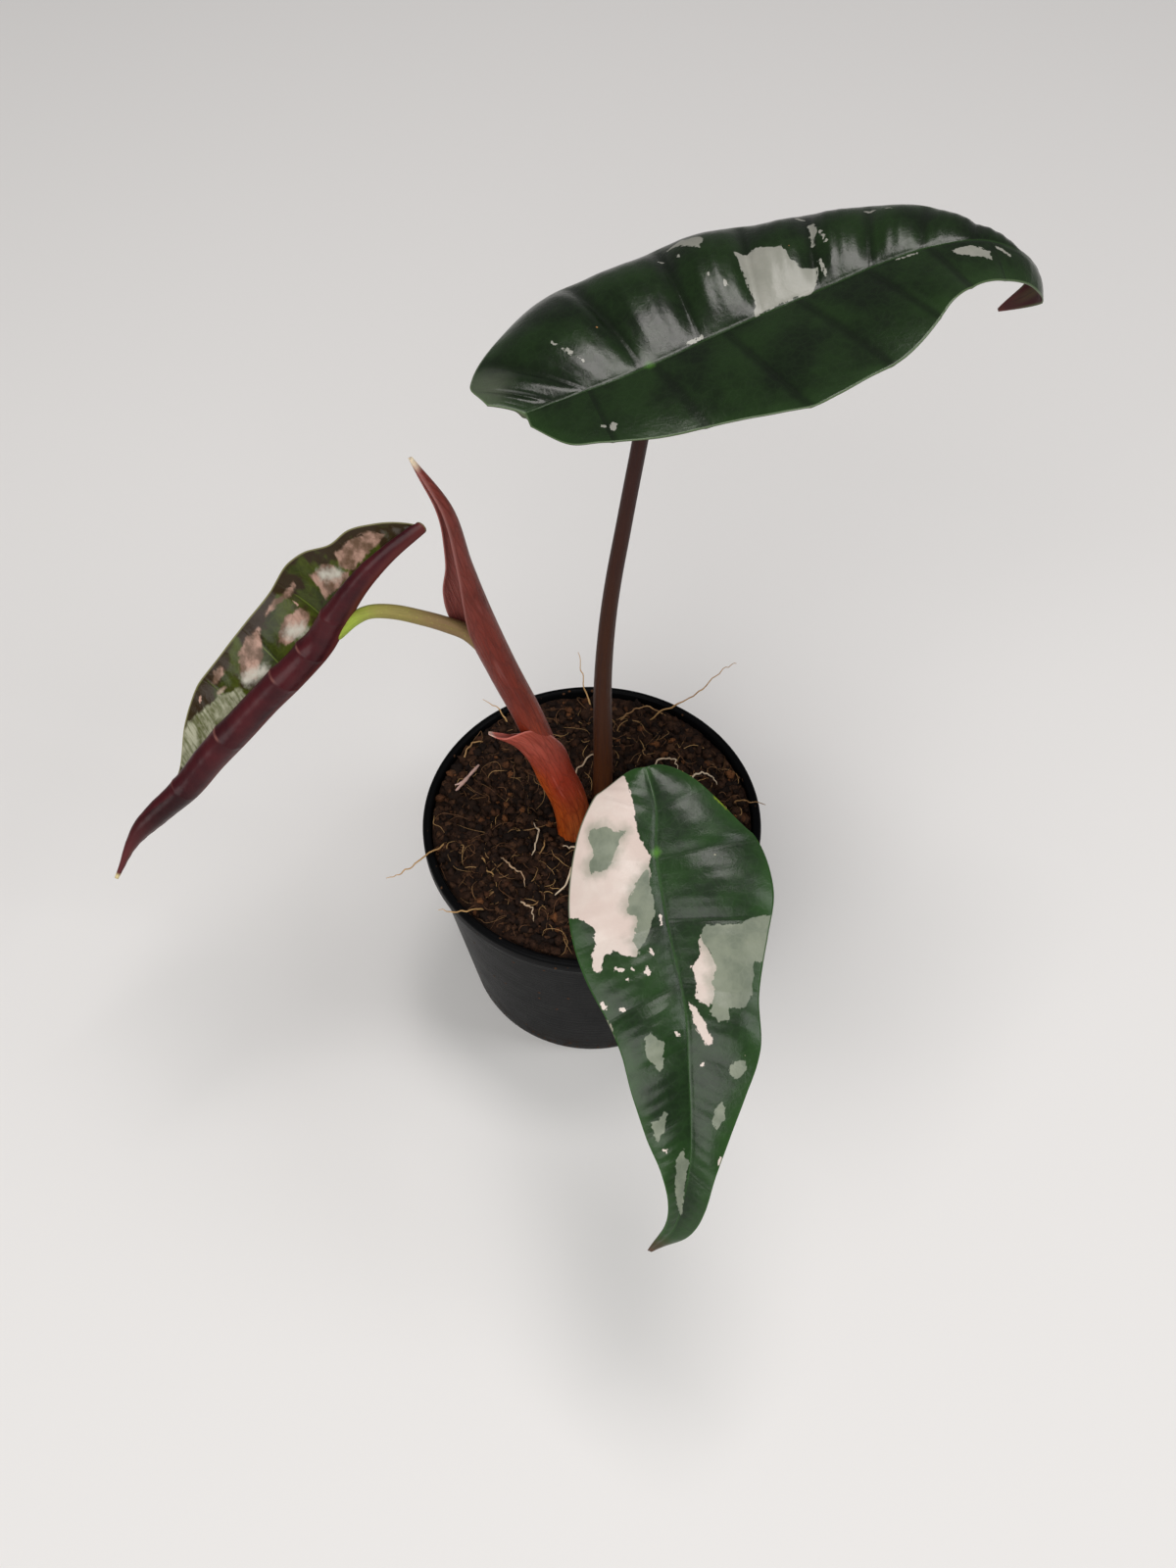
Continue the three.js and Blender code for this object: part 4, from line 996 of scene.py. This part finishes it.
def coir_path():
    """A short coir strand that lies on the mix, curved and partly lifted."""
    x, y = disc_place(RIM_RADIUS - LIP_WIDTH - 3)
    heading = rng.uniform(0, 2 * math.pi)
    bend = rng.normal(0, 0.5)
    step = rng.uniform(0.7, 3.2)
    lift = rng.uniform(0, 2)
    path = []
    for k in range(6):
        rise = lift * math.sin(math.pi * k / 5)
        path.append((x, y, soil_height(x, y) + 0.25 + rise))
        heading += bend + rng.normal(0, 0.35)
        x += step * math.cos(heading)
        y += step * math.sin(heading)
        limit = min(1, (RIM_RADIUS - LIP_WIDTH - 0.8) / math.hypot(x, y))
        x, y = x * limit, y * limit
    return path


def fine_strand(path):
    """The same strand with small kinks between its points."""
    s = np.linspace(0, 1, 4 * len(path))
    points = along(path, s)
    kinks = rng.normal(0, 0.22, points.shape)
    kinks[[0, -1]] = 0
    return points + kinks


def make_strands(coir, pale):
    """The long strands of the source, many short ones, and the pale roots."""
    long_parts = [
        strand(k, fine_strand(path) + STRAND_LIFT, [0.34, 0.27, 0.2, 0.1], 34, 7, rng.uniform(0.4, 1))
        for k, path in enumerate(STRANDS)
    ]
    join_parts("long_fibres", long_parts, coir)
    short_parts = [
        strand(k, coir_path(), [0.04, rng.uniform(0.06, 0.12), 0.03], 12, 4, rng.uniform() ** 1.6)
        for k in range(COIR_COUNT)
    ]
    join_parts("coir_fibres", short_parts, coir)
    root_parts = [
        strand(k, fine_strand(path) + ROOT_LIFT, [0.14, 0.3, 0.22, 0.1], 26, 7, rng.uniform(0.4, 1))
        for k, path in enumerate(ROOTS)
    ]
    join_parts("fine_roots", root_parts, pale)


def make_chip(material):
    """The pale pinkish splinter of bark, forked at its end, that lies near the left rim."""
    stem = strand(0, np.add(CHIP_STEM, CHIP_LIFT), [0.3, 0.6, 0.5, 0.5, 0.3], 26, 10, 0.6)
    fork = strand(1, np.add(CHIP_FORK, CHIP_LIFT), [0.15, 0.3, 0.35], 12, 8, 0.9)
    join_parts("bark_chip", [stem, fork], material)


# Looks: colours, shares from 0 to 1, scales of noise per mm, and reaches and borders in mm.
OPEN_LOOK = {
    "under_vein_and_glint_share": 0.4, "vein_from": -3.0, "vein_reach": 60.0, "blush_scale": 0.07, "tip_from": 0.93,
    "shine": 0.28, "border": 0.2, "rim": 0.3, "tissue": 0.85, "spot_and_glint_from": -0.8, "spot_and_glint_noise": 1.2,
}
BACK_LOOK = {
    **OPEN_LOOK,
    "deep": (0.0032, 0.0085, 0.002), "green": (0.0085, 0.023, 0.0045), "vein": (0.025, 0.06, 0.015),
    "sage": (0.24, 0.27, 0.2), "sage_light": (0.31, 0.33, 0.26), "cream": (0.27, 0.27, 0.235),
    "blush": (0.22, 0.225, 0.19), "speck": (0.42, 0.2, 0.07), "margin": (0.1, 0.15, 0.07),
    "spot": (0.05, 0.15, 0.015), "glow": (0.1, 0.16, 0.05), "under": (0.045, 0.013, 0.017),
    "under_light": (0.07, 0.026, 0.025), "under_rib": (0.1, 0.075, 0.04), "under_vein_and_glint": (0.1, 0.075, 0.04),
    "tip": (0.09, 0.025, 0.03), "end": (0.12, 0.04, 0.035), "tip_to": 0.99, "vein_share": 0.05,
    "rib_share": 0.4, "painted_crease_shade": 0.6, "gloss": 0.27, "coat": 0.12,
}
FRONT_LOOK = {
    **OPEN_LOOK,
    "deep": (0.0055, 0.017, 0.004), "green": (0.012, 0.04, 0.007), "vein": (0.035, 0.1, 0.022),
    "sage": (0.14, 0.165, 0.12), "sage_light": (0.2, 0.225, 0.165), "cream": (0.62, 0.54, 0.485),
    "blush": (0.58, 0.48, 0.43), "speck": (0.3, 0.3, 0.2), "margin": (0.025, 0.08, 0.015),
    "spot": (0.09, 0.26, 0.025), "glow": (0.34, 0.43, 0.02), "under": (0.05, 0.035, 0.022),
    "under_light": (0.07, 0.06, 0.03), "under_rib": (0.13, 0.13, 0.05), "under_vein_and_glint": (0.13, 0.13, 0.05),
    "tip": (0.05, 0.03, 0.012), "end": (0.07, 0.035, 0.015), "tip_to": 0.985, "vein_share": 0.08,
    "rib_share": 0.3, "painted_crease_shade": 0.25, "gloss": 0.32, "coat": 0.08,
}
YOUNG_LOOK = {
    "deep": (0.018, 0.024, 0.002), "green": (0.055, 0.07, 0.005), "vein": (0.15, 0.21, 0.025),
    "second": (0.024, 0.01, 0.004), "sage": (0.11, 0.115, 0.05), "sage_light": (0.4, 0.4, 0.29),
    "cream": (0.42, 0.26, 0.2), "blush": (0.12, 0.07, 0.042), "speck": (0.3, 0.25, 0.15),
    "margin": (0.26, 0.25, 0.12), "spot": (0.14, 0.2, 0.04), "glow": (0.5, 0.48, 0.41),
    "under": (0.028, 0.0036, 0.006), "under_light": (0.06, 0.0075, 0.0105),
    "under_rib": (0.11, 0.022, 0.02), "under_vein_and_glint": (0.28, 0.12, 0.1), "tip": (0.09, 0.018, 0.02),
    "end": (0.6, 0.5, 0.26), "tip_from": 0.8, "tip_to": 0.97, "under_vein_and_glint_share": 0.5, "vein_from": 8.0,
    "vein_reach": 14.5, "painted_fold_shade": 8.0, "vein_share": 0.5, "rib_share": 0.6, "blush_scale": 0.17, "gloss": 0.24,
    "coat": 0.04, "painted_crease_shade": 0.4, "shine": 0.16, "border": 0.9, "rim": 0.0, "tissue": 0.6, "hatch": 0.6,
    "spot_and_glint_from": -3.0, "spot_and_glint_noise": 3.2,
}


def make_plant():
    """Leaves, sheaths and stalks, each in the place of its node."""
    wraps = along(TALL_SHEATH["spine"], np.array(SHORT_SHEATH["wraps"]))
    short_shape = dict(SHORT_SHEATH, spine=[*map(tuple, wraps), *SHORT_SHEATH["spine"]])
    back = blade_material("leaf_back", BACK_LOOK)
    front = blade_material("leaf_front", FRONT_LOOK)
    young = blade_material("leaf_young", YOUNG_LOOK)
    tall_red = sheath_material(
        "sheath_tall", low=(0.29, 0.044, 0.012), middle=(0.15, 0.018, 0.009), high=(0.15, 0.03, 0.022),
        tip=(0.6, 0.5, 0.36), painted_glow=(0.22, 0.03, 0.012))
    short_red = sheath_material(
        "sheath_short", low=(0.33, 0.08, 0.018), middle=(0.25, 0.026, 0.009), high=(0.33, 0.065, 0.042),
        tip=(0.62, 0.42, 0.36), painted_glow=(0.4, 0.068, 0.007))
    dark_skin = stalk_material(
        "dark_stalk", streak=(0.02, 0.01, 0.01),
        stops=[(0, (0.072, 0.024, 0.008)), (0.35, (0.042, 0.014, 0.006)), (0.8, (0.034, 0.012, 0.009)),
               (1, (0.048, 0.02, 0.015))])
    green_skin = stalk_material(
        "green_stalk", streak=(0.16, 0.14, 0.04),
        stops=[(0, (0.25, 0.12, 0.05)), (0.6, (0.2, 0.13, 0.06)), (0.75, (0.24, 0.2, 0.06)),
               (0.95, (0.3, 0.4, 0.05))])
    for make, name, shape, material, node, slot in (
        (blade_piece, "leaf_back_blade", BACK_LEAF, back, "leaf_back", "leaf_dark"),
        (blade_piece, "leaf_front_blade", FRONT_LEAF, front, "leaf_front", "leaf_dark"),
        (blade_piece, "leaf_young_blade", YOUNG_LEAF, young, "leaf_young", "leaf_young"),
        (blade_piece, "sheath_tall_bract", TALL_SHEATH, tall_red, "sheath_tall", "sheath"),
        (blade_piece, "sheath_short_bract", short_shape, short_red, "sheath_short", "sheath"),
        (stalk_piece, "stalk_back_skin", BACK_STALK, dark_skin, "stalk_back", "dark_stalk"),
        (stalk_piece, "stalk_front_skin", FRONT_STALK, dark_skin, "stalk_front", "dark_stalk"),
        (stalk_piece, "stalk_young_skin", YOUNG_STALK, green_skin, "stalk_young", "green_stalk"),
    ):
        piece = make(name, shape, material)
        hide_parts(node)


def make_ground():
    """The pot, the mix with its crumbs and strands, and the crown's finish."""
    make_pot(pot_material())
    dark_earth = earth_material(
        "dark_earth", (0.013, 0.006, 0.0035), (0.055, 0.024, 0.012), (0.12, 0.05, 0.02))
    brown_earth = earth_material(
        "brown_earth", (0.035, 0.016, 0.009), (0.1, 0.046, 0.022), (0.17, 0.075, 0.03))
    warm_earth = earth_material(
        "warm_earth", (0.075, 0.03, 0.014), (0.2, 0.078, 0.028), (0.28, 0.12, 0.045))
    make_soil_bed(dark_earth)
    make_crumbs("dark_crumbs", count=1900, largest=1.5, material=dark_earth)
    make_crumbs("brown_crumbs", count=1300, largest=1.1, material=brown_earth)
    make_crumbs("warm_crumbs", count=260, largest=1.3, material=warm_earth)
    coir = fibre_material("coir", (0.14, 0.06, 0.02), (0.52, 0.31, 0.12))
    roots = fibre_material("roots", (0.35, 0.2, 0.1), (0.62, 0.5, 0.36))
    make_strands(coir, roots)
    make_chip(fibre_material("chip", (0.42, 0.24, 0.2), (0.55, 0.38, 0.33)))
    corm = earth_material("corm", (0.07, 0.03, 0.018), (0.16, 0.08, 0.045), (0.22, 0.12, 0.07))
    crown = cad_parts["crown"]
    crown.data.materials.clear()
    crown.data.materials.append(corm)


def area_light(name, place, aim, size, power, tint=(1, 1, 1)):
    """A soft rectangular light aimed at a point, in metres."""
    light = bpy.data.lights.new(name, "AREA")
    light.shape = "RECTANGLE"
    light.size, light.size_y = size
    light.energy = power
    light.color = tint
    lamp = bpy.data.objects.new(name, light)
    lamp.location = place
    lamp.rotation_euler = (Vector(aim) - Vector(place)).to_track_quat("-Z", "Y").to_euler()
    bpy.context.scene.collection.objects.link(lamp)


def make_stage():
    """Floor, lights, world and the camera at the photograph's view."""
    bpy.ops.mesh.primitive_plane_add(size=8)
    floor = bpy.context.object
    floor.name = "floor"
    paint = Paint("pale_floor")
    floor.data.materials.append(paint.finish((0.78, 0.775, 0.765), 0.8, Specular_IOR_Level=0.2))
    area_light("key", (0.12, 0.17, 1.35), (0.02, 0.05, 0.2), size=(0.55, 0.4), power=6, tint=(1, 0.95, 0.94))
    area_light("fill", (-0.5, -1.3, 1.15), (0, 0, 0.12), size=(1.5, 1.5), power=24, tint=(1, 0.98, 0.96))
    area_light("side", (0.85, -0.25, 1.0), (0.02, -0.05, 0.15), size=(0.35, 0.6), power=3.4)
    world = bpy.data.worlds.new("studio")
    world.use_nodes = True
    background = world.node_tree.nodes["Background"]
    background.inputs["Color"].default_value = (1, 1, 1, 1)
    background.inputs["Strength"].default_value = 0.2
    bpy.context.scene.world = world
    lens = bpy.data.cameras.new("camera")
    lens.sensor_fit = "VERTICAL"
    lens.sensor_height = SENSOR
    lens.lens = CAMERA_LENS
    lens.clip_start = 0.01
    camera = bpy.data.objects.new("camera", lens)
    camera.location = Vector(CAMERA_PLACE) * MM
    camera.rotation_euler = (math.radians(90 - CAMERA_PITCH), 0, 0)
    bpy.context.scene.collection.objects.link(camera)
    bpy.context.scene.camera = camera
    bpy.context.scene.view_settings.view_transform = "Standard"


make_stage()
make_ground()
make_plant()
